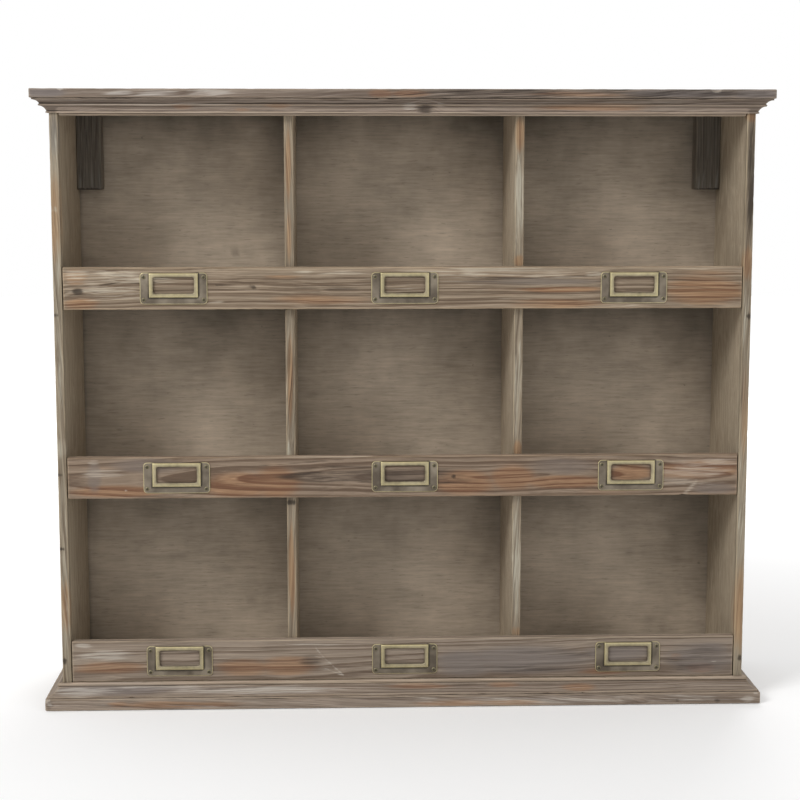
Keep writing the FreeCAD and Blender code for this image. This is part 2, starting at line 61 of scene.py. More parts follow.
# Marks of the wood, in millimetres of the cabinet's own frame.
# Each board has its kinds of mark, and each patch its middle (x, z) and its half sizes (x, z).
PATCHES = {
    "front_rail_upper": {
        "warm": ((-323, 434, 14, 8), (-318, 407, 20, 6), (-119, 433, 26, 2), (-86, 411, 58, 6),
            (158, 420, 42, 3), (148, 406, 52, 5), (299, 419, 42, 18)),
        "pale": ((-287, 421, 30, 4), (-283, 436, 24, 4), (-186, 409, 9, 2.5), (-102, 438, 14, 2),
            (68, 436, 18, 3), (187, 436, 12, 3), (95, 440, 90, 2), (140, 433, 30, 2),
            (-322, 436, 13, 5), (-300, 420, 40, 3), (-262, 430, 44, 4), (-250, 412, 30, 3)),
        "sway": ((-320, 419, 14, 6),),
        "dark": ((-321, 419, 6, 3.5), (-149, 423, 2.6, 2.6)),
        "cool": ((114, 428, 80, 4),),
        "haze": ((120, 437, 60, 4), (30, 437, 40, 4), (-60, 437, 30, 4), (-285, 432, 30, 3),
            (-300, 422, 44, 14)),
        "dusk": ((100, 431, 70, 2), (-80, 420, 40, 6)),
    },
    "front_rail_middle": {
        "cool": ((-309, 235, 8, 16), (160, 243, 40, 9), (-255, 246, 40, 8), (312, 219, 26, 6)),
        "pale": ((-309, 249, 7, 3), (-278, 221, 1.5, 1.5), (-83, 254, 62, 1.5), (300, 246, 38, 5),
            (292, 236, 40, 7), (-300, 238, 26, 6), (270, 226, 30, 4)),
        "warm": ((-290, 220, 44, 6), (-165, 226, 36, 13), (-128, 229, 24, 17), (59, 227, 30, 12),
            (108, 232, 22, 12), (158, 227, 36, 6), (299, 239, 42, 9), (227, 236, 20, 8)),
        "dark": ((49, 233, 2.5, 2.5),),
        "haze": ((200, 252, 30, 2), (-310, 240, 6, 12), (296, 234, 40, 15)),
        "dusk": ((-60, 243, 50, 3),),
    },
    "front_rail_lower": {
        "pale": ((-324, 63, 10, 3), (-304, 52, 34, 6)),
        "warm": ((-297, 39, 40, 8), (-163, 39, 30, 9), (-120, 40, 30, 10), (277, 45, 7, 5),
            (302, 34, 15, 6), (205, 31, 30, 4)),
        "haze": ((-80, 38, 8, 8), (-98, 62, 34, 3), (316, 39, 3, 2)),
        "cool": ((60, 40, 32, 14), (127, 44, 75, 15), (302, 44, 40, 15), (215, 50, 40, 9),
            (310, 48, 26, 12)),
        "dusk": ((306, 47, 26, 11), (-96, 46, 12, 10), (110, 34, 60, 5), (150, 52, 50, 5),
            (296, 40, 40, 9)),
    },
    "crown_board": {
        "pale": ((-276, 611, 16, 3), (-234, 610, 24, 4), (-190, 611, 24, 4)),
        "warm": ((-24, 610, 13, 5), (5, 610, 20, 4), (172, 610, 50, 3)),
        "cool": ((342, 610, 22, 6), (-345, 611, 20, 6), (270, 611, 50, 5)),
        "gloom": ((85, 610.5, 90, 9), (262, 610.5, 105, 9)),
    },
    "crown_moulding_front": {
        "warm": ((-123, 599, 14, 3), (-158, 595, 10, 2), (190, 598, 60, 4), (-215, 598, 12, 3)),
        "dark": ((20, 596, 8, 5),),
        "pale": ((5, 598, 8, 4), (34, 598, 5, 4), (-250, 600, 80, 1.3)),
        "bend": ((20, 596, 14, 8),),
    },
    "base_board": {
        "warm": ((-288, 6, 12, 4), (50, 4, 42, 3), (108, 4, 36, 3), (-230, 5, 70, 4)),
        "pale": ((-356, 6, 1.5, 4), (20, 9, 14, 2), (348, 5, 8, 4)),
        "dusk": ((0, 10.6, 330, 1.0), (276, 5, 2, 4), (317, 3, 3, 3), (-357, 6, 5, 6),
            (-250, 5, 80, 3)),
        "haze": ((110, 6, 100, 4), (262, 6, 80, 4)),
    },
    "base_moulding_front": {
        "warm": ((15, 19, 38, 3), (99, 20, 18, 3), (177, 17, 18, 3)),
        "pale": ((-324, 17, 30, 4), (-150, 17, 90, 2.5)),
        # These two long, thin pale patches along the bead are a painted highlight
        "haze": ((-220, 21, 90, 1.5), (60, 21, 60, 1.2)),
        "cool": ((-290, 20, 60, 6),),
    },
    "side_panel_left": {
        "cool": ((-341, 570, 8, 22),),
        "warm": ((-341, 494, 8, 46), (-341, 102, 8, 30)),
        "pale": ((-341, 499, 3, 4), (-341, 264, 8, 12)),
        "dark": ((-343, 237, 3, 2.5), (-343, 162, 3, 2), (-343, 47, 3, 3), (-343, 396, 3, 3)),
        "haze": ((-340, 360, 4, 90), (-340, 200, 4, 60), (-340, 550, 4, 40), (-340, 110, 5, 90),
            (-340, 450, 5, 50)),
    },
    "side_panel_right": {
        "warm": ((341, 589, 8, 5), (341, 445, 8, 18), (341, 98, 8, 50), (341, 300, 4, 60)),
        "dark": ((342, 530, 4, 58), (343, 43, 3, 3), (343, 393, 3, 3)),
        "pale": ((340, 558, 1.5, 1.5),),
        "haze": ((340, 200, 5, 110), (340, 390, 5, 60)),
    },
    "divider_upper_left": {
        "warm": ((-114, 543, 3, 40), (-114, 472, 3, 30)),
    },
    "divider_middle_left": {
        "warm": ((-114, 330, 3, 50),),
        "pale": ((-116, 250, 3, 20),),
        "dusk": ((-113, 320, 5, 80),),
    },
    "divider_lower_left": {
        "warm": ((-114, 140, 3, 50),),
        "dark": ((-114, 206, 6, 3),),
    },
    "divider_upper_right": {
        "warm": ((114, 572, 6, 18), (114, 448, 6, 6)),
        "pale": ((114, 508, 6, 40),),
    },
    "divider_middle_right": {
        "pale": ((114, 320, 6, 60),),
        "warm": ((114, 260, 6, 8),),
    },
    "divider_lower_right": {
        "pale": ((114, 140, 6, 60),),
        "warm": ((114, 71, 6, 6),),
    },
    # On each hanging block the pale patch makes it paler towards its lower end, and the thin dark patch
    # along its bottom end is a painted shadow
    "hanging_block_left": {
        "haze": ((-323, 522, 18, 18),),
        "dark": ((-323, 517, 20, 1.6),),
    },
    "hanging_block_right": {
        "haze": ((323, 522, 18, 18),),
        "dark": ((323, 517, 20, 1.6),),
    },
}

# Fainter kinds of mark: the field they belong to and their strength
FAINT = {"dusk": ("dark", 0.55), "gloom": ("dark", 0.68), "haze": ("pale", 0.6),
         "sway": ("bend", 0.4)}

# Splits and scratches: kind, one end (x, z), the other end (x, z), width, depth.
SPLITS = {
    "front_rail_upper": (
        ("dark", -299, 425, -281, 428, 1.6, 0.8), ("dark", -281, 428, -260, 427, 1.4, 0.7),
        ("dark", -186, 425, -150, 424, 0.9, 0.5), ("dark", -152, 424, -147, 422, 3.0, 1.2),
    ),
    "front_rail_middle": (
        ("pale", 294, 227, 280, 211, 5.0, 0.6), ("dark", -146, 245, -60, 251, 1.0, 0.2),
    ),
    "front_rail_lower": (
        ("pale", -90, 58, -84, 50, 2.0, 0.5), ("pale", -84, 50, -76, 42, 2.4, 0.5),
        ("pale", -76, 42, -63, 30, 2.0, 0.5), ("pale", -92, 50, -80, 46, 1.8, 0.4),
        ("pale", -80, 36, -62, 29, 1.6, 0.4),
    ),
}

# Knots scattered over the wide outer faces: how many, and the end of the thickness they show on
KNOTS = {"side_panel_left": (4, 0), "side_panel_right": (3, 1), "crown_board": (4, 1)}

# Chips out of an edge: middle (x, y, z) and reach of the missing bite.
CHIPS = {
    "crown_board": ((302, -83.5, 617.5, 7.0), (-58, -84, 618, 5.5), (121, -84, 618, 5.0),
                    (-331, -84, 618, 6.0)),
    "base_board": ((-361, -83, 14, 6.5), (356, -84, 15, 6.0)),
}

# How the rails differ: the upper one is coarse, the middle one smooth and brown, the lower one greyer
RAIL_CHARACTER = {
    "upper": {"tint": "#fffbf1", "coarse": 1.1, "limed": 0.04},
    "middle": {"tint": "#f6efe8", "rubbed": 0.14, "ringed": 1.15, "coarse": 0.6},
    "lower": {"silvered": 0.05, "coarse": 0.85},
}

# The middle rail is cut so that the heart of the tree comes to its face in a long tongue.
HEARTS = {
    "front_rail_middle": {"level": 233.5, "surface_x": 94.0, "slope": 0.0434, "tongue": 9.0,
                          "outline_end": -30.0},
}


def linear(hex_colour):
    """An sRGB hex colour as linear red, green and blue."""
    channels = [int(hex_colour[index:index + 2], 16) / 255 for index in (1, 3, 5)]
    return tuple(c / 12.92 if c <= 0.04045 else ((c + 0.055) / 1.055) ** 2.4 for c in channels)


def colour_property(name, hex_colour, description):
    """A colour that a user may change."""
    return FloatVectorProperty(name=name, description=description, default=linear(hex_colour),
                               subtype="COLOR", size=3, min=0.0, max=1.0)


def length_property(name, millimetres, description):
    """A length that a user may change."""
    return FloatProperty(name=name, description=description, default=millimetres * MM,
                         unit="LENGTH", min=0.0, precision=5)


class CabinetWood(bpy.types.PropertyGroup):
    """Sizes and colours of the weathered pine."""
    edge_round: length_property("Edge round", 0.9, "Radius worn on to the edges of the boards")
    waviness: length_property("Waviness", 0.35, "How far the hand-planed faces dip")
    ring_width: length_property("Ring width", 4.2, "Mean width of a year's growth")
    fibre_width: length_property("Fibre width", 1.05, "Width of the fibres, coarse enough to be seen")
    sheltered_gain: FloatProperty(name="Sheltered gain", default=0.56, min=0.0, max=1.0,
                                  description="How much paler the wood inside the holes has stayed")
    early: colour_property("Early wood", "#948677", "Weathered wood grown in spring")
    late: colour_property("Late wood", "#625346", "Weathered wood grown in summer")
    warm_early: colour_property("Rubbed early wood", "#a08164", "Early wood with the grey rubbed off")
    warm_late: colour_property("Rubbed late wood", "#6c4c38", "Late wood with the grey rubbed off")
    cool: colour_property("Silvered wood", "#736b66", "Wood that has weathered to blue-grey")
    lime: colour_property("Lime", "#bbb3a7", "Lime left in the grain and on worn places")
    worn: colour_property("Worn arris", "#b9a68d", "Bare wood on the worn arrises")
    stain: colour_property("Stain", "#332a23", "Knots, splits and dirt")


class CabinetPanel(bpy.types.PropertyGroup):
    """Sizes and colours of the stained plywood back."""
    figure_height: length_property("Figure height", 2.0, "Height of the fine sideways figure")
    cloud_width: length_property("Cloud width", 85.0, "Width of the clouds in the stain")
    light: colour_property("Light stain", "#ecdac4", "Where the stain is thin")
    deep: colour_property("Deep stain", "#8c8272", "Where the stain is thick")
    # The colour of the painted shade in the corners of the holes and in the keyhole pockets, and of the
    # spots on the back
    painted_shade_and_spots: colour_property("Painted shade and spots", "#39342a", "Dirt gathered in the corners of the holes")
    veneer: colour_property("Raw veneer", "#a59480", "Unstained veneer on the rear")
    veneer_late: colour_property("Raw late wood", "#796754", "Late wood in the unstained veneer")


class CabinetBrass(bpy.types.PropertyGroup):
    """Sizes and colours of the card holders."""
    edge_round: length_property("Edge round", 0.25, "Rounding of the stamped edges")
    # The clouds are partly patina and partly painted reflection
    cloud_width: length_property("Cloud width", 22.0, "Width of the clouds in the patina")
    bright: colour_property("Rubbed brass", "#c9bd90", "Brass on the rubbed edges")
    thin_patina_and_reflection: colour_property("Thin patina", "#867c6d", "Antiqued brass where the patina is thin")
    patina: colour_property("Patina", "#5a5146", "Antiqued brass in the field")
    # Dirt in the crosses of the screws, and the painted shadow round the frames
    dirt_and_painted_shade: colour_property("Dirt", "#37322c", "Dirt in the crosses of the screws and round the frames")


class CabinetStage(bpy.types.PropertyGroup):
    """Floor and light."""
    floor_radius: length_property("Floor radius", 6000.0, "Reach of the pale floor")
    key_power: FloatProperty(name="Key light", description="Power of the main soft light",
                             default=60.0, unit="POWER", min=0.0)
    sky: FloatProperty(name="Sky", description="Strength of the soft light from all round",
                       default=0.65, min=0.0)


def node(tree, kind, inputs=(), out=0, **settings):
    """Adds a shader node with its settings and its inputs, by name or in order.

    Gives one output, or the node itself if out is None.
    """
    made = tree.nodes.new("ShaderNode" + kind)
    for key, value in settings.items():
        setattr(made, key, value)
    for key, value in inputs.items() if isinstance(inputs, dict) else enumerate(inputs):
        if isinstance(value, bpy.types.NodeSocket):
            tree.links.new(value, made.inputs[key])
        else:
            made.inputs[key].default_value = value
    return made if out is None else made.outputs[out]


def cleared_tree(owner):
    """The emptied node tree of a material or a world."""
    owner.use_nodes = True
    owner.node_tree.nodes.clear()
    return owner.node_tree


def new_material(name):
    """A material of that name and its empty node tree."""
    material = bpy.data.materials.get(name) or bpy.data.materials.new(name)
    return material, cleared_tree(material)


def rgba(colour):
    """A colour as four numbers, from a property or an sRGB hex colour."""
    red, green, blue = linear(colour) if isinstance(colour, str) else colour
    return (red, green, blue, 1.0)


# Slow drift of the grain: its length, its width and how far it goes sideways, in millimetres
DRIFT_LENGTH, DRIFT_WIDTH, DRIFT_REACH = 150.0, 45.0, 8.0

# How far the growth rings swerve round a knot, in millimetres, and where in a year the late wood ends
KNOT_SWERVE = 6.0
LATE_WOOD = 0.88

# Noise stretched along the grain: length and width in millimetres, and levels of detail.
# Real fibres are far finer than the fibre width, which is as coarse as it needs to be to show.
FIBRE_LENGTH, FIBRE_DETAIL = 85.0, 4.0
STREAKS = {"short": (50.0, 1.6, 3.0), "long": (150.0, 4.5, 3.0), "patch": (170.0, 20.0, 2.0)}

# How far the fibres move the wood towards its late colour, and how far they shade it
FIBRE_CONTRAST = 0.46
FIBRE_SHADE = 0.27


# Hand-planed pine, limed and left to weather: matt, grey-brown and streaky, pale where it is rubbed
def weathered_pine(name, wood, tint="#ffffff", rubbed=0.0, silvered=0.0, ringed=1.0, coarse=1.0,
                   limed=0.0):
    """Limed pine: growth rings round the pith, fine fibres, rubbed warm streaks, lime and dirt."""
    material, tree = new_material(name)
    grain = node(tree, "Attribute", attribute_name="grain", out="Vector")
    fields = {key: node(tree, "Attribute", attribute_name=key, out="Fac") for key in FIELDS}

    drift = node(tree, "Mapping", {"Vector": grain,
                                   "Scale": (1 / DRIFT_LENGTH, 1 / DRIFT_WIDTH, 1 / DRIFT_WIDTH)})
    drift = node(tree, "TexNoise", {"Vector": drift, "Scale": 1.0, "Detail": 2.0}, out="Color")
    drift = node(tree, "VectorMath", (drift, (0.5, 0.5, 0.5)), operation="SUBTRACT")
    drift = node(tree, "VectorMath", (drift, (0.0, DRIFT_REACH, DRIFT_REACH)), operation="MULTIPLY")
    wavy = node(tree, "VectorMath", (grain, drift), operation="ADD")

    # Growth rings: a slow rise to the dark late wood and a quick fall.
    # A map range lists its value, the range it comes from and the range it goes to.
    across = node(tree, "VectorMath", (wavy, (0.0, 1.0, 1.0)), operation="MULTIPLY")
    radius = node(tree, "VectorMath", (across,), operation="LENGTH", out="Value")
    radius = node(tree, "Math", (fields["bend"], KNOT_SWERVE, radius), operation="MULTIPLY_ADD")
    rings = node(tree, "Math", (radius, MM / wood.ring_width), operation="MULTIPLY")
    uneven = node(tree, "TexNoise", {"W": rings, "Scale": 0.5, "Detail": 3.0}, noise_dimensions="1D")
    phase = node(tree, "Math", (uneven, 2.4, rings), operation="MULTIPLY_ADD")
    saw = node(tree, "Math", (phase,), operation="FRACT")
    rise = node(tree, "MapRange", (saw, 0.2, LATE_WOOD, 0.1, 1.0), interpolation_type="SMOOTHSTEP")
    fall = node(tree, "MapRange", (saw, LATE_WOOD, 1.0, 1.0, 0.1))
    ring = node(tree, "Math", (rise, fall), operation="MINIMUM")

    stretched = {}
    sizes = {"fibre": (FIBRE_LENGTH, wood.fibre_width / MM, FIBRE_DETAIL), **STREAKS}
    for key, (length, width, detail) in sizes.items():
        place = node(tree, "Mapping", {"Vector": wavy, "Location": (length, width, -width),
                                       "Scale": (1 / length, 1 / width, 1 / width)})
        made = node(tree, "TexNoise", {"Vector": place, "Scale": 1.0, "Detail": detail,
                                       "Roughness": 0.62}, out="Color")
        stretched[key] = node(tree, "SeparateColor", (made,), out=None).outputs

    # Covers: a listed mark broken up by streaks, with some that the wood has of its own.
    # Each has the weight of the mark, the streaks and the patches with their weights, what is
    # added all over, where the cover starts and is full, and how much it hides.
    covers = {}
    fibres, short, long, patch = stretched.values()
    recipes = (
        ("warm", 0.75, long[0], 1.0, patch[0], 1.1, rubbed, 0.12, 0.8, 0.85),
        ("cool", 0.75, long[1], 0.8, patch[1], 1.0, silvered, 0.15, 0.85, 0.75),
        ("pale", 0.72, short[2], 2.4, patch[2], 0.8, limed, 0.3, 1.0, 0.66),
        ("dark", 0.95, short[1], 1.7, long[2], 0.8, 0.02, 0.25, 1.0, 0.88),
    )
    for key, marked, streaky, streak_weight, own, own_weight, more, low, high, most in recipes:
        total = node(tree, "Math", (fields[key], marked, more), operation="MULTIPLY_ADD")
        for part, weight in ((streaky, streak_weight * coarse), (own, own_weight * coarse)):
            centred = node(tree, "Math", (part, 0.5), operation="SUBTRACT")
            total = node(tree, "Math", (centred, weight, total), operation="MULTIPLY_ADD")
        covers[key] = node(tree, "MapRange", (total, low, high, 0.0, most),
                           interpolation_type="SMOOTHSTEP")

    # Worn arrises show paler wood, broken along their length
    worn = node(tree, "Math", (long[0], 0.6, 0.2), operation="MULTIPLY_ADD")
    worn = node(tree, "Math", (worn, fields["wear"]), operation="MULTIPLY")
    worn = node(tree, "MapRange", (worn, 0.12, 0.6, 0.0, 0.6))

    # The colour, from the plain wood outwards
    contrast = FIBRE_CONTRAST * coarse
    fine = node(tree, "MapRange", (fibres[0], 0.3, 0.7, 0.2 - contrast, 0.2 + contrast))
    calm = node(tree, "Math", (fields["sheltered"], -0.4 * ringed, 0.75 * ringed),
                operation="MULTIPLY_ADD")
    depth = node(tree, "Math", (ring, calm, fine), operation="MULTIPLY_ADD", use_clamp=True)
    colour, bare = [
        node(tree, "Mix", {"Factor": depth, 6: rgba(light), 7: rgba(deep)}, data_type="RGBA", out=2)
        for light, deep in ((wood.early, wood.late), (wood.warm_early, wood.warm_late))]
    for cover, over in ((covers["warm"], bare), (covers["cool"], rgba(wood.cool)),
                        (covers["pale"], rgba(wood.lime)), (worn, rgba(wood.worn)),
                        (covers["dark"], rgba(wood.stain))):
        colour = node(tree, "Mix", {"Factor": cover, 6: colour, 7: over}, data_type="RGBA", out=2)
    shading = FIBRE_SHADE * coarse
    shade = node(tree, "MapRange", (fibres[1], 0.3, 0.7, 1.0 + shading, 1.0 - shading))
    paler = node(tree, "Math", (fields["sheltered"], wood.sheltered_gain, 1.0),
                 operation="MULTIPLY_ADD")
    for over in (shade, paler, rgba(tint)):
        colour = node(tree, "Mix", {"Factor": 1.0, 6: colour, 7: over}, data_type="RGBA",
                      blend_type="MULTIPLY", out=2)

    # Raised late wood and open fibres
    height = node(tree, "Math", (fibres[1], -1.2, ring), operation="MULTIPLY_ADD")
    bump = node(tree, "Bump", {"Height": height, "Strength": 0.4, "Distance": 0.5 * MM})
    gloss = node(tree, "MapRange", (fibres[0], 0.0, 1.0, 0.66, 0.9))
    surface = node(tree, "BsdfPrincipled", {"Base Color": colour, "Normal": bump, "Roughness": gloss,
                                            "Specular IOR Level": 0.3})
    node(tree, "OutputMaterial", (surface,), out=None)
    return material


# Years of growth that show in the looped veneer
VENEER_LOOPS = 20.0


# Rotary-cut plywood, stained brown in front and raw behind: dull and cloudy, with fine sideways flecks
def stained_plywood(name, panel):
    """Thin plywood: flecks under a cloudy brown stain in front, with painted shade in the holes and a
    few spots, and looped raw veneer behind.
    """
    material, tree = new_material(name)
    place = node(tree, "TexCoord", out="Object")
    painted_shade_and_spots, raw = [node(tree, "Attribute", attribute_name=key, out="Fac") for key in ("painted_shade_and_spots", "raw")]
    figure = panel.figure_height
    cloud = panel.cloud_width
    stretched = {}
    for key, length, height, detail in (("figure", 13.0 * figure, figure, 4.0),
                                        ("mottle", 0.5 * cloud, 0.15 * cloud, 4.0),
                                        ("fleck", 14.0 * MM, 1.5 * MM, 2.0),
                                        ("spot", 6.0 * MM, 5.0 * MM, 2.0),
                                        ("cloud", cloud, 1.4 * cloud, 4.0),
                                        ("veneer", 4.0 * cloud, 0.8 * cloud, 1.0)):
        spread = node(tree, "Mapping", {
            "Vector": place, "Location": (length / MM, 0.0, height / MM), "Rotation": (0.0, -0.04, 0.0),
            "Scale": (1 / length, 1 / length, 1 / height)})
        stretched[key] = node(tree, "TexNoise", {"Vector": spread, "Scale": 1.0, "Detail": detail,
                                                 "Roughness": 0.6})

    # The front: thin and thick stain, dark flecks and spots, and the painted shade in the holes, broken
    # up by the clouds
    depth = 0.5
    for key, weight in (("cloud", 0.6), ("figure", 0.46), ("mottle", 0.36)):
        part = node(tree, "Math", (stretched[key], 0.5), operation="SUBTRACT")
        depth = node(tree, "Math", (part, weight, depth), operation="MULTIPLY_ADD")
    depth = node(tree, "MapRange", (depth, 0.1, 0.8))
    colour = node(tree, "Mix", {"Factor": depth, 6: rgba(panel.deep), 7: rgba(panel.light)},
                  data_type="RGBA", out=2)
    for key, low, high, darkest in (("fleck", 0.6, 0.72, 0.76), ("spot", 0.7, 0.8, 0.6)):
        shade = node(tree, "MapRange", (stretched[key], low, high, 1.0, darkest))
        colour = node(tree, "Mix", {"Factor": 1.0, 6: colour, 7: shade}, data_type="RGBA",
                      blend_type="MULTIPLY", out=2)
    patchy = node(tree, "Math", (stretched["cloud"], -1.0, 1.5), operation="MULTIPLY_ADD")
    painted_shade_and_spots = node(tree, "Math", (painted_shade_and_spots, patchy), operation="MULTIPLY", use_clamp=True)

    # The rear: the loops that peeling a log leaves in its veneer
    loops = node(tree, "Math", (stretched["veneer"], VENEER_LOOPS), operation="MULTIPLY")
    loops = node(tree, "Math", (loops,), operation="FRACT")
    loops = node(tree, "MapRange", (loops, 0.2, 1.0, 0.0, 0.34), interpolation_type="SMOOTHSTEP")
    loops = node(tree, "Math", (stretched["figure"], 0.5, loops), operation="MULTIPLY_ADD")
    veneer = node(tree, "Mix", {"Factor": loops, 6: rgba(panel.veneer), 7: rgba(panel.veneer_late)},
                  data_type="RGBA", out=2)
    for cover, over in ((painted_shade_and_spots, rgba(panel.painted_shade_and_spots)), (raw, veneer)):
        colour = node(tree, "Mix", {"Factor": cover, 6: colour, 7: over}, data_type="RGBA", out=2)
    bump = node(tree, "Bump", {"Height": stretched["figure"], "Strength": 0.2, "Distance": 0.15 * MM})
    surface = node(tree, "BsdfPrincipled", {"Base Color": colour, "Normal": bump, "Roughness": 0.78,
                                            "Specular IOR Level": 0.3})
    node(tree, "OutputMaterial", (surface,), out=None)
    return material


# Stamped and chemically darkened brass: dull grey-brown clouds, partly patina and partly painted
# reflection, with a soft shine on the rubbed edges
def antique_brass(name, brass):
    """Stamped brass, darkened all over in clouds, rubbed bright on its edges and painted dark round the
    frame's foot as shadow.
    """
    material, tree = new_material(name)
    place = node(tree, "TexCoord", out="Object")
    wear, dirt_and_painted_shade = [node(tree, "Attribute", attribute_name=key, out="Fac") for key in ("wear", "dirt_and_painted_shade")]
    cloud = node(tree, "TexNoise", {"Vector": place, "Scale": 1 / brass.cloud_width, "Detail": 3.0,
                                    "Roughness": 0.5})
    scuff = node(tree, "TexNoise", {"Vector": place, "Scale": 5 / brass.cloud_width, "Detail": 4.0,
                                    "Roughness": 0.6})
    # Clouds of thinner patina, partly a painted reflection
    thin = node(tree, "MapRange", (cloud, 0.38, 0.66))
    bare = node(tree, "Math", (scuff, 0.5), operation="SUBTRACT")
    bare = node(tree, "Math", (bare, 0.4, wear), operation="MULTIPLY_ADD")
    bare = node(tree, "MapRange", (bare, 0.15, 0.85))
    # Painted shadow round the foot of the frame
    dirt_and_painted_shade = node(tree, "Math", (dirt_and_painted_shade, 0.85), operation="MULTIPLY", use_clamp=True)
    colour = rgba(brass.patina)
    for cover, over in ((thin, brass.thin_patina_and_reflection), (bare, brass.bright), (dirt_and_painted_shade, brass.dirt_and_painted_shade)):
        colour = node(tree, "Mix", {"Factor": cover, 6: colour, 7: rgba(over)}, data_type="RGBA", out=2)
    gloss = node(tree, "MapRange", (bare, 0.0, 1.0, 0.55, 0.36))
    bump = node(tree, "Bump", {"Height": scuff, "Strength": 0.15, "Distance": 0.1 * MM})
    surface = node(tree, "BsdfPrincipled", {"Base Color": colour, "Normal": bump, "Roughness": gloss,
                                            "Metallic": 0.75})
    node(tree, "OutputMaterial", (surface,), out=None)
    return material


# Turned brass screws, as dark as the plates: black crosses in domes with a pale ring
def worn_screw(name, brass):
    """Brass screw heads, dark in the cross and on the dome, rubbed pale round the rim."""
    material, tree = new_material(name)
    normal = node(tree, "NewGeometry", out="Normal")
    towards_back = node(tree, "SeparateXYZ", (normal,), out="Y")
    rise = node(tree, "MapRange", (towards_back, -0.05, -0.35, 0.0, 0.8))
    fall = node(tree, "MapRange", (towards_back, -0.55, -0.92, 0.8, 0.08))
    rim = node(tree, "Math", (rise, fall), operation="MINIMUM")
    colour = node(tree, "Mix", {"Factor": rim, 6: rgba(brass.dirt_and_painted_shade), 7: rgba(brass.bright)},
                  data_type="RGBA", out=2)
    surface = node(tree, "BsdfPrincipled", {"Base Color": colour, "Metallic": 0.6, "Roughness": 0.5})
    node(tree, "OutputMaterial", (surface,), out=None)
    return material


# Zinc-plated or fire-blackened steel: a cool grey or near-black metal with small cloudy flecks
def plated_steel(name, light, dark, grit):
    """Steel with a cloudy skin, zinc grey or dark from the fire."""
    material, tree = new_material(name)
    place = node(tree, "TexCoord", out="Object")
    cloud = node(tree, "TexNoise", {"Vector": place, "Scale": 1 / (grit * MM), "Detail": 4.0,
                                    "Roughness": 0.6})
    colour = node(tree, "Mix", {"Factor": cloud, 6: rgba(dark), 7: rgba(light)}, data_type="RGBA",
                  out=2)
    gloss = node(tree, "MapRange", (cloud, 0.0, 1.0, 0.3, 0.55))
    surface = node(tree, "BsdfPrincipled", {"Base Color": colour, "Roughness": gloss, "Metallic": 1.0})
    node(tree, "OutputMaterial", (surface,), out=None)
    return material


def millimetres(node_name):
    """The box of a CAD node in millimetres."""
    low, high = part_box(node_name)
    return low / MM, high / MM


def middle_of(node_name):
    """The middle of a CAD node's box in millimetres."""
    return sum(millimetres(node_name), Vector()) / 2


def across_of(low, high, along):
    """The wide and the thin axis of a board, across its grain."""
    others = [axis for axis in range(3) if axis != along]
    return sorted(others, key=lambda axis: low[axis] - high[axis])


# Boards wider than this are flat sawn, with the pith behind their face, in millimetres
FLAT_SAWN = 90.0

# Where the pith lay: off the middle of a flat-sawn board as a share of its breadth, past the edge of
# another board, behind the face of both, and where along the log they were cut, in millimetres
PITH_SHARE = (0.05, 0.3)
PITH_PAST_EDGE = (0.0, 40.0)
PITH_BEHIND = (20.0, 60.0)
LOG_REACH = (-4000.0, 4000.0)

# How the pith leans in the thickness of a flat-sawn and of another board, and in the width of both
FLAT_SAWN_LEAN = (0.04, 0.07)
OTHER_LEAN = (-0.02, 0.02)
WIDTH_LEAN = (-0.012, 0.012)


def log_frame(node_name, low, high, along):
    """Where the pith of the tree ran beside a board: a function from a place to log coordinates."""
    draw = random.Random(node_name)
    wide, thin = across_of(low, high, along)
    middle = (low + high) / 2
    breadth = high[wide] - low[wide]
    turned = draw.choice((-1, 1))
    if breadth > FLAT_SAWN:
        heart_wide = middle[wide] + turned * draw.uniform(*PITH_SHARE) * breadth
        lean_thin = turned * draw.uniform(*FLAT_SAWN_LEAN)
    else:
        heart_wide = middle[wide] + turned * (breadth * 0.5 + draw.uniform(*PITH_PAST_EDGE))
        lean_thin = draw.uniform(*OTHER_LEAN)
    heart_thin = middle[thin] + draw.uniform(*PITH_BEHIND)
    lean_wide = draw.uniform(*WIDTH_LEAN)
    start = draw.uniform(*LOG_REACH)
    heart = HEARTS.get(node_name)
    if heart:
        heart_wide, lean_wide = heart["level"], 0.0
        heart_thin, lean_thin = low[thin], -heart["slope"]
        middle[along] = heart["surface_x"]

    def place_in_log(place):
        run = place[along] - middle[along]
        return Vector((place[along] + start, place[wide] - heart_wide - lean_wide * run,
                       place[thin] - heart_thin - lean_thin * run))
    return place_in_log


# Knots: their radii, how far they keep from the ends and the two long edges of their board, how much
# longer they are along it, and how deep they show, in millimetres
KNOT_RADII = (3.5, 7.0)
KNOT_FROM_ENDS = 40.0
KNOT_FROM_EDGES = (25.0, 15.0)
KNOT_STRETCH = 1.5
KNOT_DEPTH = 2.0

# How strongly a knot bends the grain, darkens and warms the wood, and how many radii away none shows
KNOT_MARKS = {"bend": 1.3, "dark": 0.85, "warm": 0.8}
NO_KNOT = 9.0


def scatter_knots(node_name, low, high, along):
    """Knots of a wide board: a function from a place to its nearness to a knot, in knot radii."""
    count, end = KNOTS.get(node_name, (0, 0))
    draw = random.Random(node_name + " knots")
    wide, thin = across_of(low, high, along)
    face = (low, high)[end][thin]
    knots = []
    for _ in range(count):
        run = draw.uniform(low[along] + KNOT_FROM_ENDS, high[along] - KNOT_FROM_ENDS)
        off = draw.uniform(low[wide] + KNOT_FROM_EDGES[0], high[wide] - KNOT_FROM_EDGES[1])
        knots.append((run, off, draw.uniform(*KNOT_RADII)))

    def nearness(place):
        if not knots or abs(place[thin] - face) > KNOT_DEPTH:
            return NO_KNOT
        return min(math.hypot((place[along] - run) / KNOT_STRETCH, place[wide] - off) / radius
                   for run, off, radius in knots)
    return nearness


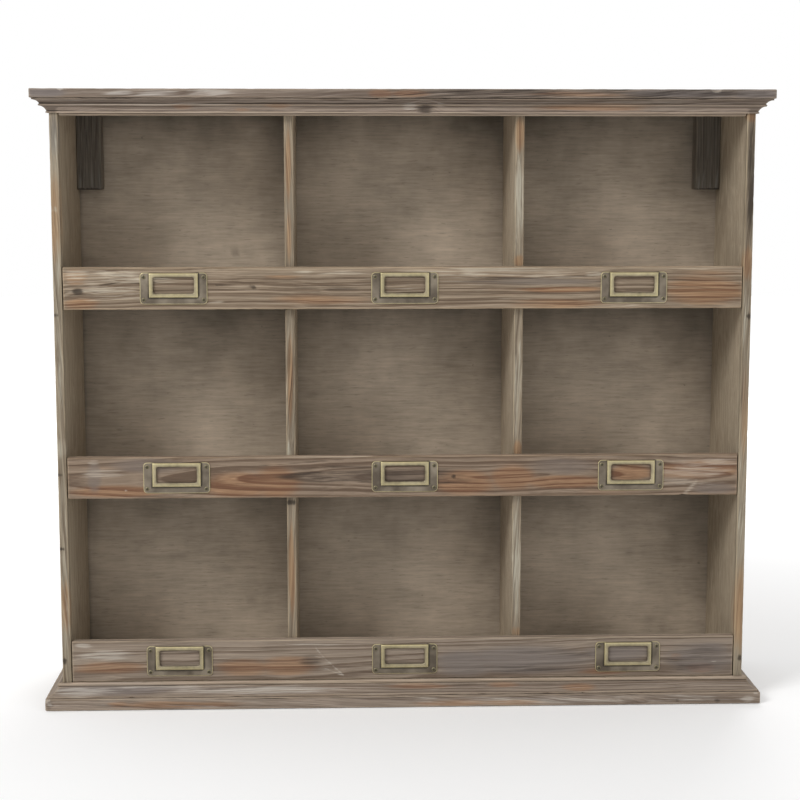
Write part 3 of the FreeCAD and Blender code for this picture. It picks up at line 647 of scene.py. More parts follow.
def clamp(value):
    """A value kept between nothing and one."""
    return max(0.0, min(1.0, value))


def ellipse(place, x, z, half_x, half_z):
    """One in the middle of a mark, falling smoothly to nothing past its rim."""
    share = ((place.x - x) / half_x) ** 2 + ((place.z - z) / half_z) ** 2
    return math.exp(-0.9 * share * share)


def split_share(place, x0, z0, x1, z1, width):
    """One on the line of a split, falling to nothing a width away."""
    run = Vector((x1 - x0, z1 - z0))
    here = Vector((place.x - x0, place.z - z0))
    along = clamp(here.dot(run) / run.length_squared)
    return max(0.0, 1.0 - (here - run * along).length / width)


def edge_distance(place, low, high):
    """Distance from a place on a box to the nearest of its edges."""
    gaps = sorted(min(place[axis] - low[axis], high[axis] - place[axis]) for axis in range(3))
    return max(0.0, gaps[1])


# How far back the marks on the front fade out, in millimetres
MARK_DEPTH = {"board": 14.0, "rail": 6.0, "moulding": 30.0}

# Hand-planed waves along and across a board, and nibbles out of its arrises, in millimetres
WAVE_LENGTH = 120.0
WAVE_WIDTH = 30.0
NIBBLE_SIZE = 9.0
NIBBLE_DEPTH = 0.7
NIBBLE_REACH = 1.2

# How far wear reaches from an arris and how deep the weather gets into the holes, in millimetres
WEAR_REACH = 1.6
WEATHER_REACH = 6.0

# What lies so little outside the walls of the holes still counts as inside, in millimetres
HOLE_MARGIN = 0.5

# The tongue of heartwood: how long it takes to fade in, how soft its edge is and the width of its
# outline, in millimetres
HEART_FADE = 60.0
TONGUE_BLUR = 1.5
OUTLINE_WIDTH = 0.9

# How grey and how dark the tongue is, and how dark its outline
TONGUE_COOL, TONGUE_DARK, OUTLINE_DARK = 0.5, 0.64, 0.85


def mark_heart(values, heart, place, log_place):
    """Adds the grey tongue of heartwood and its dark outline to the marks at a place."""
    radius = math.hypot(log_place.y, log_place.z)
    fading = min(1.0, (heart["surface_x"] - place.x) / HEART_FADE)
    tongue = fading * clamp((heart["tongue"] - radius) / TONGUE_BLUR + 0.5)
    outline = math.exp(-((radius - heart["tongue"]) / OUTLINE_WIDTH) ** 2)
    outline *= clamp((heart["outline_end"] - place.x) / HEART_FADE)
    values["cool"] = max(values["cool"], TONGUE_COOL * tongue)
    values["dark"] = max(values["dark"], TONGUE_DARK * tongue, OUTLINE_DARK * outline)


def read_marks(node_name, place, front, near):
    """The marks of a board at a place, and how deep its splits sink there."""
    values = dict.fromkeys(FIELDS, 0.0)
    for kind, shapes in PATCHES.get(node_name, {}).items():
        field, strength = FAINT.get(kind, (kind, 1.0))
        share = max(ellipse(place, *shape) for shape in shapes)
        values[field] = max(values[field], strength * front * share)
    sink = 0.0
    for kind, x0, z0, x1, z1, width, deep in SPLITS.get(node_name, ()):
        share = front * split_share(place, x0, z0, x1, z1, width)
        values[kind] = max(values[kind], share)
        sink = max(sink, share * deep)
    shares = {"bend": math.exp(-0.5 * near * near), "dark": math.exp(-(near * 1.1) ** 4),
              "warm": math.exp(-0.25 * near * near)}
    for key, strength in KNOT_MARKS.items():
        values[key] = max(values[key], strength * shares[key])
    return values, sink


def weather(bm, node_name, along, wood, fade):
    """Hand-planed waves, splits and chips in the mesh, and the grain and marks as attributes."""
    low, high = millimetres(node_name)
    place_in_log = log_frame(node_name, low, high, along)
    nearness = scatter_knots(node_name, low, high, along)
    heart = HEARTS.get(node_name)
    grain = bm.verts.layers.float_vector.new("grain")
    layers = {key: bm.verts.layers.float.new(key) for key in FIELDS}
    hole_x = (millimetres("side_panel_left")[1].x, millimetres("side_panel_right")[0].x)
    hole_z = (millimetres("bottom_panel")[1].z, millimetres("top_panel")[0].z)
    seed = Vector((random.Random(node_name + " waves").uniform(0, 500), 0, 0))
    stretch = Vector((1 / WAVE_WIDTH,) * 3)
    stretch[along] = 1 / WAVE_LENGTH
    bm.normal_update()
    moves = []
    for vert in bm.verts:
        place = vert.co / MM
        depth = max(0.0, place.y - low.y)
        front = math.exp(-(depth / fade) ** 2)
        values, sink = read_marks(node_name, place, front, nearness(place))
        log_place = place_in_log(place)
        if heart and place.x < heart["surface_x"]:
            mark_heart(values, heart, place, log_place)
        inside = (hole_x[0] - HOLE_MARGIN < place.x < hole_x[1] + HOLE_MARGIN
                  and hole_z[0] - HOLE_MARGIN < place.z < hole_z[1] + HOLE_MARGIN)
        values["sheltered"] = (1.0 - math.exp(-(depth / WEATHER_REACH) ** 2)) if inside else 0.0
        gap = edge_distance(place, low, high)
        values["wear"] = math.exp(-gap / WEAR_REACH)
        ripple = noise.noise(Vector(place[axis] * stretch[axis] for axis in range(3)) + seed)
        nibble = noise.noise(place / NIBBLE_SIZE + seed)
        dip = wood.waviness / MM * (0.5 + 0.5 * ripple)
        dip += NIBBLE_DEPTH * max(0.0, nibble) * math.exp(-gap / NIBBLE_REACH)
        move = vert.normal * -(dip + sink)
        for *middle, reach in CHIPS.get(node_name, ()):
            away = place - Vector(middle)
            if away.length < reach:
                move += away.normalized() * (reach - away.length)
                values["pale"] = 1.0
        vert[grain] = log_place
        for key, layer in layers.items():
            vert[layer] = values[key]
        moves.append((vert, move * MM))
    for vert, move in moves:
        vert.co += move


def add_piece(bm, node_name, stuff, material):
    """Makes the finished object of a mesh and ties it to the frame in place of a CAD node."""
    name = node_name + "_" + stuff
    mesh = bpy.data.meshes.new(name)
    bm.to_mesh(mesh)
    bm.free()
    mesh.shade_smooth()
    mesh.materials.append(material)
    piece = bpy.data.objects.new(name, mesh)
    bpy.context.scene.collection.objects.link(piece)
    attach(piece, "root")
    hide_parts(node_name)


def refinish(node_name, material):
    """Gives a new material to a CAD node that keeps its shape."""
    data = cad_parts[node_name].data
    data.materials.clear()
    data.materials.append(material)


def block(bm, low, high):
    """A box between two corners in millimetres."""
    made = bmesh.ops.create_cube(bm, size=1.0)
    place = Matrix.Translation((low + high) / 2 * MM) @ Matrix.Diagonal((high - low) * MM).to_4x4()
    bmesh.ops.transform(bm, matrix=place, verts=made["verts"])


def lies_along(edge, axis):
    """Whether an edge runs along an axis."""
    return abs((edge.verts[1].co - edge.verts[0].co).normalized()[axis]) > 0.99


def extrude(bm, faces):
    """Extrudes faces as one and gives the new points."""
    made = bmesh.ops.extrude_face_region(bm, geom=faces)["geom"]
    return [item for item in made if isinstance(item, bmesh.types.BMVert)]


def bevel(bm, edges, radius, segments):
    """Rounds the given edges."""
    bmesh.ops.bevel(bm, geom=edges, offset=radius, segments=segments, profile=0.5, affect="EDGES",
                    material=-1)


def grid_up(bm, steps):
    """Cuts every face of a box into a grid with the given steps in millimetres."""
    for axis, step in enumerate(steps):
        runs = [edge for edge in bm.edges if lies_along(edge, axis)]
        cuts = max(1, round(runs[0].calc_length() / (step * MM)) - 1)
        bmesh.ops.subdivide_edges(bm, edges=runs, cuts=cuts, use_grid_fill=True)


# A turn of more than this from face to face is sharp, in radians
SHARP = 0.6


def round_edges(bm, radius, segments=2):
    """Rounds every sharp edge."""
    bevel(bm, [edge for edge in bm.edges if edge.calc_face_angle(0.0) > SHARP], radius, segments)


def build_board(node_name, along, steps, material, wood, fade=MARK_DEPTH["board"]):
    """One solid board in place of a CAD node."""
    low, high = millimetres(node_name)
    bm = bmesh.new()
    block(bm, low, high)
    grid_up(bm, steps)
    round_edges(bm, wood.edge_round)
    weather(bm, node_name, along, wood, fade)
    add_piece(bm, node_name, "wood", material)


# Steps of the grid on the faces of the boards (x, y, z), in millimetres
GRID = {"rail": (1.5, 1.5, 1.0), "side": (1.5, 3.0, 3.0), "head": (2.0, 2.0, 1.5),
        "shelf": (5.0, 4.0, 3.0), "divider": (1.2, 3.0, 2.0), "back": (4.0, 2.5, 4.0),
        "end_board": (2.0, 4.0, 1.5), "hanging_block": (3.0, 3.0, 3.0)}


class CABINET_OT_rails(bpy.types.Operator):
    """Build the front rails, with their knots, splits and scratches"""
    bl_idname = "cabinet.rails"
    bl_label = "Front rails"

    def execute(self, context):
        wood = context.scene.cabinet_wood
        for row in ROWS:
            material = weathered_pine("limed_pine_rail_" + row, wood, **RAIL_CHARACTER[row])
            build_board("front_rail_" + row, 0, GRID["rail"], material, wood, MARK_DEPTH["rail"])
        return {"FINISHED"}


class CABINET_OT_carcass(bpy.types.Operator):
    """Build the sides, the shelves, the bottom and top panels and the head rail"""
    bl_idname = "cabinet.carcass"
    bl_label = "Carcass"

    def execute(self, context):
        wood = context.scene.cabinet_wood
        upright = weathered_pine("limed_pine_side", wood, tint="#fbfff8", rubbed=-0.05, ringed=0.8,
                                 coarse=0.85)
        for side in ("left", "right"):
            build_board("side_panel_" + side, 2, GRID["side"], upright, wood)
        level = weathered_pine("limed_pine_shelf", wood, rubbed=-0.1, ringed=0.7)
        build_board("head_rail", 0, GRID["head"], level, wood)
        for name in ("shelf_middle", "shelf_upper", "bottom_panel", "top_panel"):
            build_board(name, 0, GRID["shelf"], level, wood)
        return {"FINISHED"}


class CABINET_OT_dividers(bpy.types.Operator):
    """Build the six uprights between the pigeon-holes"""
    bl_idname = "cabinet.dividers"
    bl_label = "Dividers"

    def execute(self, context):
        wood = context.scene.cabinet_wood
        material = weathered_pine("limed_pine_divider", wood, tint="#fafdf6", ringed=0.6)
        for row in ROWS:
            for side in ("left", "right"):
                build_board("divider_" + row + "_" + side, 2, GRID["divider"], material, wood)
        return {"FINISHED"}


# Room behind each keyhole for the head of the wall screw, in millimetres
KEYHOLE_POCKET = Vector((14.0, 4.0, 28.0))

# How the painted shade in the holes thins out from each side: strength at the side and reach in
# millimetres
PAINTED_HOLE_SHADE = {"top": (0.78, 68.0), "bottom": (0.24, 18.0), "left": (0.34, 24.0), "right": (0.42, 30.0)}

# Spots on the back panel: middle (x, z), half sizes (x, z) and strength
BACK_SPOTS = ((-174, 451, 4, 4, 0.5), (-161, 74, 7, 7, 0.35), (-205, 470, 9, 12, 0.2),
              (230, 150, 12, 9, 0.15))


def hole_shade_and_spots(place, edges_x, edges_z):
    """Painted shade at a place on the back panel, darkest by the sides of the hole that it is in, or a
    spot there.
    """
    right = next((edge for edge in edges_x if edge > place.x), edges_x[-1])
    top = next((edge for edge in edges_z if edge > place.z), edges_z[-1])
    left = edges_x[max(0, edges_x.index(right) - 1)]
    bottom = edges_z[max(0, edges_z.index(top) - 1)]
    gaps = {"top": top - place.z, "bottom": place.z - bottom,
            "left": place.x - left, "right": right - place.x}
    clean = 1.0
    for side, (strength, reach) in PAINTED_HOLE_SHADE.items():
        clean *= 1.0 - strength * math.exp(-max(0.0, gaps[side]) / reach)
    spots = [strength * ellipse(place, *spot) for *spot, strength in BACK_SPOTS]
    return max(1.0 - clean, *spots)


class CABINET_OT_back(bpy.types.Operator):
    """Build the plywood back, with painted shade in the corners of the holes, and pockets behind the
    keyholes painted dark as shade
    """
    bl_idname = "cabinet.back"
    bl_label = "Back panel"

    def execute(self, context):
        material = stained_plywood("stained_plywood", context.scene.cabinet_panel)
        low, high = millimetres("back_panel")
        bm = bmesh.new()
        block(bm, low, high)
        grid_up(bm, GRID["back"])
        edges_x = [millimetres("side_panel_left")[1].x, middle_of("divider_lower_left").x,
                   middle_of("divider_lower_right").x, millimetres("side_panel_right")[0].x]
        edges_z = [millimetres("bottom_panel")[1].z, millimetres("shelf_middle")[0].z,
                   millimetres("shelf_upper")[0].z, millimetres("top_panel")[0].z]
        painted_shade_and_spots = bm.verts.layers.float.new("painted_shade_and_spots")
        raw = bm.verts.layers.float.new("raw")
        for vert in bm.verts:
            if vert.co.y / MM < low.y + 0.1:
                vert[painted_shade_and_spots] = hole_shade_and_spots(vert.co / MM, edges_x, edges_z)
            else:
                vert[raw] = 1.0
        for side in ("left", "right"):
            middle = middle_of("hanger_plate_" + side)
            floor = []
            for face in bm.faces:
                away = face.calc_center_median() / MM - middle
                beside = abs(away.x) < KEYHOLE_POCKET.x / 2 and abs(away.z) < KEYHOLE_POCKET.z / 2
                if beside and face.normal.y > 0.9:
                    floor.append(face)
            sunk = extrude(bm, floor)
            bmesh.ops.translate(bm, verts=sunk, vec=(0.0, -KEYHOLE_POCKET.y * MM, 0.0))
            # The floor of each pocket is painted dark, as shade
            for vert in sunk:
                vert[raw] = 0.0
                vert[painted_shade_and_spots] = 1.0
        add_piece(bm, "back_panel", "plywood", material)
        return {"FINISHED"}


class CABINET_OT_crown_and_base(bpy.types.Operator):
    """Build the flat boards of the crown and the base"""
    bl_idname = "cabinet.crown_and_base"
    bl_label = "Crown and base boards"

    def execute(self, context):
        wood = context.scene.cabinet_wood
        for name, tint, limed in (("crown", "#eeeef2", 0.09), ("base", "#fdfdff", 0.14)):
            material = weathered_pine("limed_pine_" + name, wood, tint=tint, rubbed=-0.04, silvered=0.1,
                                      ringed=0.85, coarse=1.0, limed=limed)
            build_board(name + "_board", 0, GRID["end_board"], material, wood)
        return {"FINISHED"}


# Sections of the mouldings, in millimetres
QUIRK = 0.8
CROWN_HOLLOW = 0.9
CROWN_FOOT = (2.4, 1.6)
CROWN_BEAD = 2.2
CROWN_BEAD_LEVEL = 6.6
CROWN_BEAD_OUT = 8.6
CROWN_LIP = 1.6
BASE_HOLLOW = 1.7
BASE_FOOT = 2.0
BASE_BEAD = 3.5
BASE_BEAD_OUT = 5.0
ARC_STEPS = 6


def arc(start, end, rise):
    """Points of an arc from start to end, with its middle so far to the left of the chord."""
    chord = Vector(end) - Vector(start)
    half = chord.length / 2
    radius = (half ** 2 + rise ** 2) / (2 * abs(rise))
    left = Vector((-chord.y, chord.x)).normalized() * math.copysign(1.0, rise)
    centre = (Vector(start) + Vector(end)) / 2 + left * (abs(rise) - radius)
    spread = 2 * math.asin(min(1.0, half / radius))
    first = Vector(start) - centre
    turn = -spread / ARC_STEPS * math.copysign(1.0, rise)
    return [centre + Matrix.Rotation(turn * step, 2) @ first for step in range(ARC_STEPS + 1)]


def crown_section(out, height):
    """Foot, lower cove, bead, upper cove and lip of the crown moulding, from the bottom up."""
    flank = CROWN_BEAD_OUT - CROWN_BEAD / 2
    bead_high = CROWN_BEAD_LEVEL + CROWN_BEAD
    lip_low = height - CROWN_LIP
    foot_out, foot_high = CROWN_FOOT
    points = [Vector((0, 0)), Vector((foot_out, 0)), Vector((foot_out, foot_high))]
    points += arc((foot_out - QUIRK, foot_high), (flank - QUIRK, CROWN_BEAD_LEVEL), CROWN_HOLLOW)
    points += arc((flank, CROWN_BEAD_LEVEL), (flank, bead_high), -CROWN_BEAD / 2)
    points += arc((flank, bead_high), (out - QUIRK, lip_low), CROWN_HOLLOW)[1:]
    points += [Vector((out, lip_low)), Vector((out, height)), Vector((0, height))]
    return points


def base_section(out, height):
    """Foot, cove and bead of the base moulding, from the bottom up."""
    bead_low = height - BASE_BEAD
    flank = BASE_BEAD_OUT - BASE_BEAD / 2
    points = [Vector((0, 0)), Vector((out, 0))]
    points += arc((out, BASE_FOOT), (BASE_BEAD_OUT - QUIRK, bead_low), BASE_HOLLOW)
    points += arc((flank, bead_low), (flank, height), -BASE_BEAD / 2)
    points += [Vector((0, height))]
    return points


# Steps along a moulding and the rounding of its arrises, in millimetres, and the least turn of an
# arris, in radians, which leaves out the steps of the coves and beads
MOULDING_STEP = 3.0
MOULDING_ARRIS = 0.3
ARRIS_TURN = 0.7

# Wear on the sharp turns of a moulding, painted shade in its hollow turns, the most of that shade, and
# how much of it spreads to the points beside it
TURN_WEAR, TURN_SHADE, MOST_SHADE, SHADE_SPREAD = 1.5, 0.75, 0.66, 0.6


def build_moulding(node_name, section, side, material, wood):
    """One mitred length of moulding; side is 0 for the front, -1 for the left and 1 for the right."""
    low, high = millimetres(node_name)
    carcass_low, carcass_high = millimetres("side_panel_right")
    half_width, front, wall = carcass_high.x, carcass_low.y, high.y
    runs_along = 1 if side else 0
    bm = bmesh.new()
    profile = []
    for out, up in section:
        across = side * (half_width + out) if side else -half_width - out
        profile.append(bm.verts.new(Vector((across, front - out, low.z + up)) * MM))
    for vert in extrude(bm, [bm.faces.new(profile)]):
        if side:
            vert.co.y = wall * MM
        else:
            vert.co.x = -vert.co.x
    runs = [edge for edge in bm.edges if lies_along(edge, runs_along)]
    cuts = round(max(edge.calc_length() for edge in runs) / (MOULDING_STEP * MM))
    bmesh.ops.subdivide_edges(bm, edges=runs, cuts=cuts, use_grid_fill=True)
    bmesh.ops.recalc_face_normals(bm, faces=bm.faces)
    arrises = [edge for edge in bm.edges
               if edge.calc_face_angle_signed(0.0) > ARRIS_TURN and lies_along(edge, runs_along)]
    bevel(bm, arrises, MOULDING_ARRIS * MM, 2)
    weather(bm, node_name, runs_along, wood, MARK_DEPTH["moulding"])
    wear = bm.verts.layers.float["wear"]
    dark = bm.verts.layers.float["dark"]
    # Worn arrises on the sharp turns; the hollow turns are darkened as painted shade, which spreads to
    # the points beside them along with the dark marks
    for vert in bm.verts:
        angles = [edge.calc_face_angle_signed(0.0) for edge in vert.link_edges]
        vert[wear] = clamp(TURN_WEAR * max(angles))
        vert[dark] = max(vert[dark], min(MOST_SHADE, -TURN_SHADE * min(angles)))
    dirt_and_painted_shade = {vert: max(other[dark] for edge in vert.link_edges for other in edge.verts)
            for vert in bm.verts}
    for vert, share in dirt_and_painted_shade.items():
        vert[dark] = max(vert[dark], SHADE_SPREAD * share)
    add_piece(bm, node_name, "wood", material)


class CABINET_OT_mouldings(bpy.types.Operator):
    """Build the coved mouldings of the crown and the base, mitred at the corners"""
    bl_idname = "cabinet.mouldings"
    bl_label = "Mouldings"

    def execute(self, context):
        wood = context.scene.cabinet_wood
        front_of_carcass = millimetres("side_panel_right")[0].y
        for name, make_section in (("crown", crown_section), ("base", base_section)):
            material = bpy.data.materials["limed_pine_" + name]
            low, high = millimetres(name + "_moulding_front")
            section = make_section(front_of_carcass - low.y, high.z - low.z)
            for side, place in enumerate(("left", "front", "right"), start=-1):
                build_moulding(name + "_moulding_" + place, section, side, material, wood)
        return {"FINISHED"}


class CABINET_OT_hangers(bpy.types.Operator):
    """Build the dark hanging blocks and finish the keyhole plates and their screws"""
    bl_idname = "cabinet.hangers"
    bl_label = "Hangers"

    def execute(self, context):
        wood = context.scene.cabinet_wood
        dark = weathered_pine("dark_stained_pine", wood, tint="#b2b8bb", rubbed=-0.3, ringed=0.4)
        zinc = plated_steel("zinc_plated_steel", "#c9cbc8", "#8e918f", 3.0)
        for side in ("left", "right"):
            build_board("hanging_block_" + side, 2, GRID["hanging_block"], dark, wood)
            for name in ("hanger_plate_", "hanger_screws_"):
                refinish(name + side, zinc)
        return {"FINISHED"}


# Card holder, in millimetres
FRAME_SIZE = (48.0, 24.0)
FRAME_DROP = 0.4
FRAME_BORDER = 4.1
FRAME_BEVEL = 1.2
FRAME_SUNK = 0.05
FRAME_FOOT = 0.4
PLATE_THICKNESS = 0.8
PLATE_CORNER = 4.0
SLOT_WALL = 1.7
RUBBED_RIM = 0.9
WINDOW_CORNER = 1.8
# How far the painted shadow reaches out from the frame's foot
SHADOW_REACH = 2.2

# Painted shadow at the foot of the frame, darkest where the light falls least
FOOT_SHADOW = {"left": 0.7, "right": 1.7, "bottom": 1.7}

# Wear of the frame at its outer edge, how much of it is lost across the border, the extra wear of
# the very rim and how quickly that is lost, and the wear on the sharp turns of the plate
EDGE_WEAR, BORDER_LOSS, RIM_WEAR, RIM_LOSS, PLATE_WEAR = 0.62, 0.36, 0.35, 12.0, 1.4


def ring_of_cells(bm, x_lines, z_lines, missing, y_back, y_front):
    """A plate of a few cells between lines, one left out, given its thickness towards the front."""
    grid = {(i, j): bm.verts.new(Vector((x, y_back, z)) * MM)
            for i, x in enumerate(x_lines) for j, z in enumerate(z_lines)}
    faces = []
    for i in range(len(x_lines) - 1):
        for j in range(len(z_lines) - 1):
            if (i, j) != missing:
                corners = ((i, j), (i + 1, j), (i + 1, j + 1), (i, j + 1))
                faces.append(bm.faces.new([grid[corner] for corner in corners]))
    bmesh.ops.translate(bm, verts=extrude(bm, faces), vec=(0.0, (y_front - y_back) * MM, 0.0))
    loose = [vert for vert in bm.verts if not vert.link_faces]
    bmesh.ops.delete(bm, geom=loose, context="VERTS")
    bmesh.ops.recalc_face_normals(bm, faces=bm.faces)


def stamp_plate(bm, low, high, frame_x, frame_z, brass):
    """The flat plate, with round corners, a rubbed rim and the slot of the card behind the frame."""
    middle_x = (low.x + high.x) / 2
    x_lines = (low.x, frame_x[0] - SHADOW_REACH, frame_x[0] + SLOT_WALL, frame_x[1] - SLOT_WALL,
               frame_x[1] + SHADOW_REACH, high.x)
    z_lines = (low.z, frame_z[0] - SHADOW_REACH, frame_z[0] + SLOT_WALL, high.z)
    ring_of_cells(bm, x_lines, z_lines, (2, 2), high.y, high.y - PLATE_THICKNESS)
    corners = [edge for edge in bm.edges if lies_along(edge, 1)
               and abs(abs(edge.verts[0].co.x / MM - middle_x) - (high.x - middle_x)) < 0.01
               and edge.calc_face_angle_signed(0.0) > SHARP]
    bevel(bm, corners, PLATE_CORNER * MM, 6)
    round_edges(bm, brass.edge_round)
    faces = [face for face in bm.faces if abs(face.normal.y) > 0.99]
    bmesh.ops.inset_region(bm, faces=faces, thickness=RUBBED_RIM * MM, use_even_offset=True)


def raise_frame(bm, foot, crest, frame_x, frame_z, brass):
    """The bevelled frame round the card, from its foot in the plate to its crest."""
    ring = bmesh.new()
    x_lines = (frame_x[0], frame_x[0] + FRAME_BORDER, frame_x[1] - FRAME_BORDER, frame_x[1])
    z_lines = (frame_z[0], frame_z[0] + FRAME_BORDER, frame_z[1] - FRAME_BORDER, frame_z[1])
    ring_of_cells(ring, x_lines, z_lines, (1, 1), foot, crest)
    corners = [edge for edge in ring.edges if edge.calc_face_angle_signed(0.0) < -SHARP]
    bevel(ring, corners, WINDOW_CORNER * MM, 3)
    edges = [edge for edge in ring.edges if edge.calc_face_angle(0.0) > SHARP
             and all(vert.co.y / MM < crest + 0.01 for vert in edge.verts)]
    bevel(ring, edges, FRAME_BEVEL * MM, 4)
    round_edges(ring, brass.edge_round * 0.6, 1)
    faces = [face for face in ring.faces if face.normal.y < -0.99]
    bmesh.ops.inset_region(ring, faces=faces, thickness=0.5 * RUBBED_RIM * MM, use_even_offset=True)
    mesh = bpy.data.meshes.new("frame_ring")
    ring.to_mesh(mesh)
    ring.free()
    bm.from_mesh(mesh)
    bpy.data.meshes.remove(mesh)


def rub_brass(bm, foot, frame_x, frame_z):
    """Wear on the frame in front of its foot and on the plate's edges, and painted shadow round the
    foot.
    """
    wear = bm.verts.layers.float.new("wear")
    dirt_and_painted_shade = bm.verts.layers.float.new("dirt_and_painted_shade")
    for vert in bm.verts:
        place = vert.co / MM
        inwards = {"left": place.x - frame_x[0], "right": frame_x[1] - place.x,
                   "bottom": place.z - frame_z[0]}
        near = min(inwards, key=inwards.get)
        if place.y < foot:
            border = clamp(min(inwards[near], frame_z[1] - place.z) / FRAME_BORDER)
            vert[wear] = EDGE_WEAR - BORDER_LOSS * border + RIM_WEAR * math.exp(-RIM_LOSS * border)
        else:
            bend = max(edge.calc_face_angle_signed(0.0) for edge in vert.link_edges)
            vert[wear] = clamp(PLATE_WEAR * bend)
            # Painted shadow on the plate round the frame's foot
            vert[dirt_and_painted_shade] = FOOT_SHADOW[near] if inwards[near] > -0.1 else 0.0


def build_card_holder(node_name, material, brass):
    """Stamped plate with rounded corners and a bevelled frame that holds a card."""
    low, high = millimetres(node_name)
    middle_x = (low.x + high.x) / 2
    frame_x = (middle_x - FRAME_SIZE[0] / 2, middle_x + FRAME_SIZE[0] / 2)
    frame_z = (high.z - FRAME_DROP - FRAME_SIZE[1], high.z - FRAME_DROP)
    bm = bmesh.new()
    stamp_plate(bm, low, high, frame_x, frame_z, brass)
    raise_frame(bm, high.y - PLATE_THICKNESS + FRAME_SUNK, low.y, frame_x, frame_z, brass)
    rub_brass(bm, high.y - PLATE_THICKNESS - FRAME_FOOT, frame_x, frame_z)
    add_piece(bm, node_name, "brass", material)


class CABINET_OT_card_holders(bpy.types.Operator):
    """Build the nine brass card holders and finish their screws"""
    bl_idname = "cabinet.card_holders"
    bl_label = "Card holders"

    def execute(self, context):
        brass = context.scene.cabinet_brass
        plate = antique_brass("antiqued_brass", brass)
        screws = worn_screw("antiqued_brass_screw", brass)
        for row in ROWS:
            for column in COLUMNS:
                place = row + "_" + column
                build_card_holder("card_holder_" + place, plate, brass)
                refinish("card_holder_screws_" + place, screws)
        return {"FINISHED"}


# Which way the heads of each group of nails face
NAIL_GROUPS = {
    "side_nails_left": Vector((-1, 0, 0)),
    "side_nails_right": Vector((1, 0, 0)),
    "crown_board_nails": Vector((0, 0, 1)),
    "base_board_nails": Vector((0, 0, -1)),
    "back_panel_pins": Vector((0, 1, 0)),
}

# How far the middle of a nail's domed head stands out, in millimetres, and how flat the dome is
NAIL_PROUD = 0.05
NAIL_DOME = 0.25


def solids_of(node_name):
    """The boxes of the separate solids of a CAD node, in millimetres."""
    bm = bmesh.new()
    bm.from_mesh(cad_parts[node_name].data)
    bmesh.ops.remove_doubles(bm, verts=bm.verts, dist=0.001 * MM)
    waiting = set(bm.verts)
    boxes = []
    while waiting:
        group = [waiting.pop()]
        for vert in group:
            for edge in vert.link_edges:
                other = edge.other_vert(vert)
                if other in waiting:
                    waiting.discard(other)
                    group.append(other)
        places = [vert.co / MM for vert in group]
        boxes.append((Vector(map(min, *places)), Vector(map(max, *places))))
    bm.free()
    return sorted(boxes, key=lambda box: tuple(round(value, 2) for value in box[0]))


class CABINET_OT_nails(bpy.types.Operator):
    """Build the nail heads that show on the sides, the crown, the base and the back"""
    bl_idname = "cabinet.nails"
    bl_label = "Nail heads"

    def execute(self, context):
        steel = plated_steel("blackened_steel", "#5d5650", "#2c2825", 1.0)
        for name, facing in NAIL_GROUPS.items():
            bm = bmesh.new()
            for low, high in solids_of(name):
                middle = (low + high) / 2
                half = (high - low) / 2
                radius = min(half)
                head = middle + Vector(facing[axis] * (half[axis] + NAIL_PROUD) for axis in range(3))
                made = bmesh.ops.create_uvsphere(bm, u_segments=12, v_segments=6, radius=radius * MM)
                turn = facing.to_track_quat("Z", "Y").to_matrix().to_4x4()
                flat = Matrix.Diagonal((1.0, 1.0, NAIL_DOME, 1.0))
                place = Matrix.Translation(head * MM) @ turn @ flat
                bmesh.ops.transform(bm, matrix=place, verts=made["verts"])
            add_piece(bm, name, "heads", steel)
        refinish("rail_brads", steel)
        return {"FINISHED"}


# Camera at the photograph's place: millimetres, degrees and the lens in millimetres
CAMERA_PLACE = (-67.5, -1784.0, 535.2)
CAMERA_YAW = 2.089
CAMERA_PITCH = 7.439
CAMERA_LENS = 78.515

# Soft lights: their share of the key light's power, their size and their place, in metres
LIGHTS = {
    "key_light": (1.0, 1.2, (-2.0, -2.0, 2.2)),
    "fill_light": (0.07, 1.6, (1.6, -2.2, 1.0)),
    "rear_light": (0.5, 1.6, (0.6, 2.4, 1.7)),
}
LIGHTS_AIM = (0.0, 0.0, 0.3)

# The floor lies so far under the cabinet, in metres
FLOOR_GAP = 0.0005

# Where the glow of the floor starts and is full, in metres from the middle, and its strength there
FLOOR_GLOW = (0.5, 2.5, 0.1, 0.5)
WHITE = (1.0, 1.0, 1.0, 1.0)


def soft_light(name, power, size, place):
    """A square soft light that looks at the middle of the cabinet."""
    data = bpy.data.lights.new(name, "AREA")
    data.energy = power
    data.size = size
    lamp = bpy.data.objects.new(name, data)
    lamp.location = place
    lamp.rotation_euler = (Vector(LIGHTS_AIM) - Vector(place)).to_track_quat("-Z", "Y").to_euler()
    bpy.context.scene.collection.objects.link(lamp)


def background_rays(tree):
    """One for the rays that look at the background: from the camera, off gloss and through glass."""
    path = node(tree, "LightPath", out=None).outputs
    seen = node(tree, "Math", (path["Is Camera Ray"], path["Is Glossy Ray"]), operation="MAXIMUM")
    return node(tree, "Math", (seen, path["Is Transmission Ray"]), operation="MAXIMUM")


def paper_floor(radius):
    """A round floor of white paper that glows into the background where it is far away."""
    bm = bmesh.new()
    bmesh.ops.create_circle(bm, cap_ends=True, segments=64, radius=radius)
    mesh = bpy.data.meshes.new("floor")
    bm.to_mesh(mesh)
    bm.free()
    floor = bpy.data.objects.new("floor", mesh)
    floor.location.z = -FLOOR_GAP
    bpy.context.scene.collection.objects.link(floor)
    material, tree = new_material("white_paper")
    paper = node(tree, "BsdfDiffuse", {"Color": rgba("#f4f4f4")})
    place = node(tree, "TexCoord", out="Object")
    reach = node(tree, "VectorMath", (place,), operation="LENGTH", out="Value")
    lift = node(tree, "MapRange", (reach, *FLOOR_GLOW))
    glow = node(tree, "Emission", {"Color": WHITE, "Strength": lift})
    both = node(tree, "AddShader", (paper, glow))
    seen = node(tree, "MixShader", (background_rays(tree), paper, both))
    node(tree, "OutputMaterial", (seen,), out=None)
    mesh.materials.append(material)


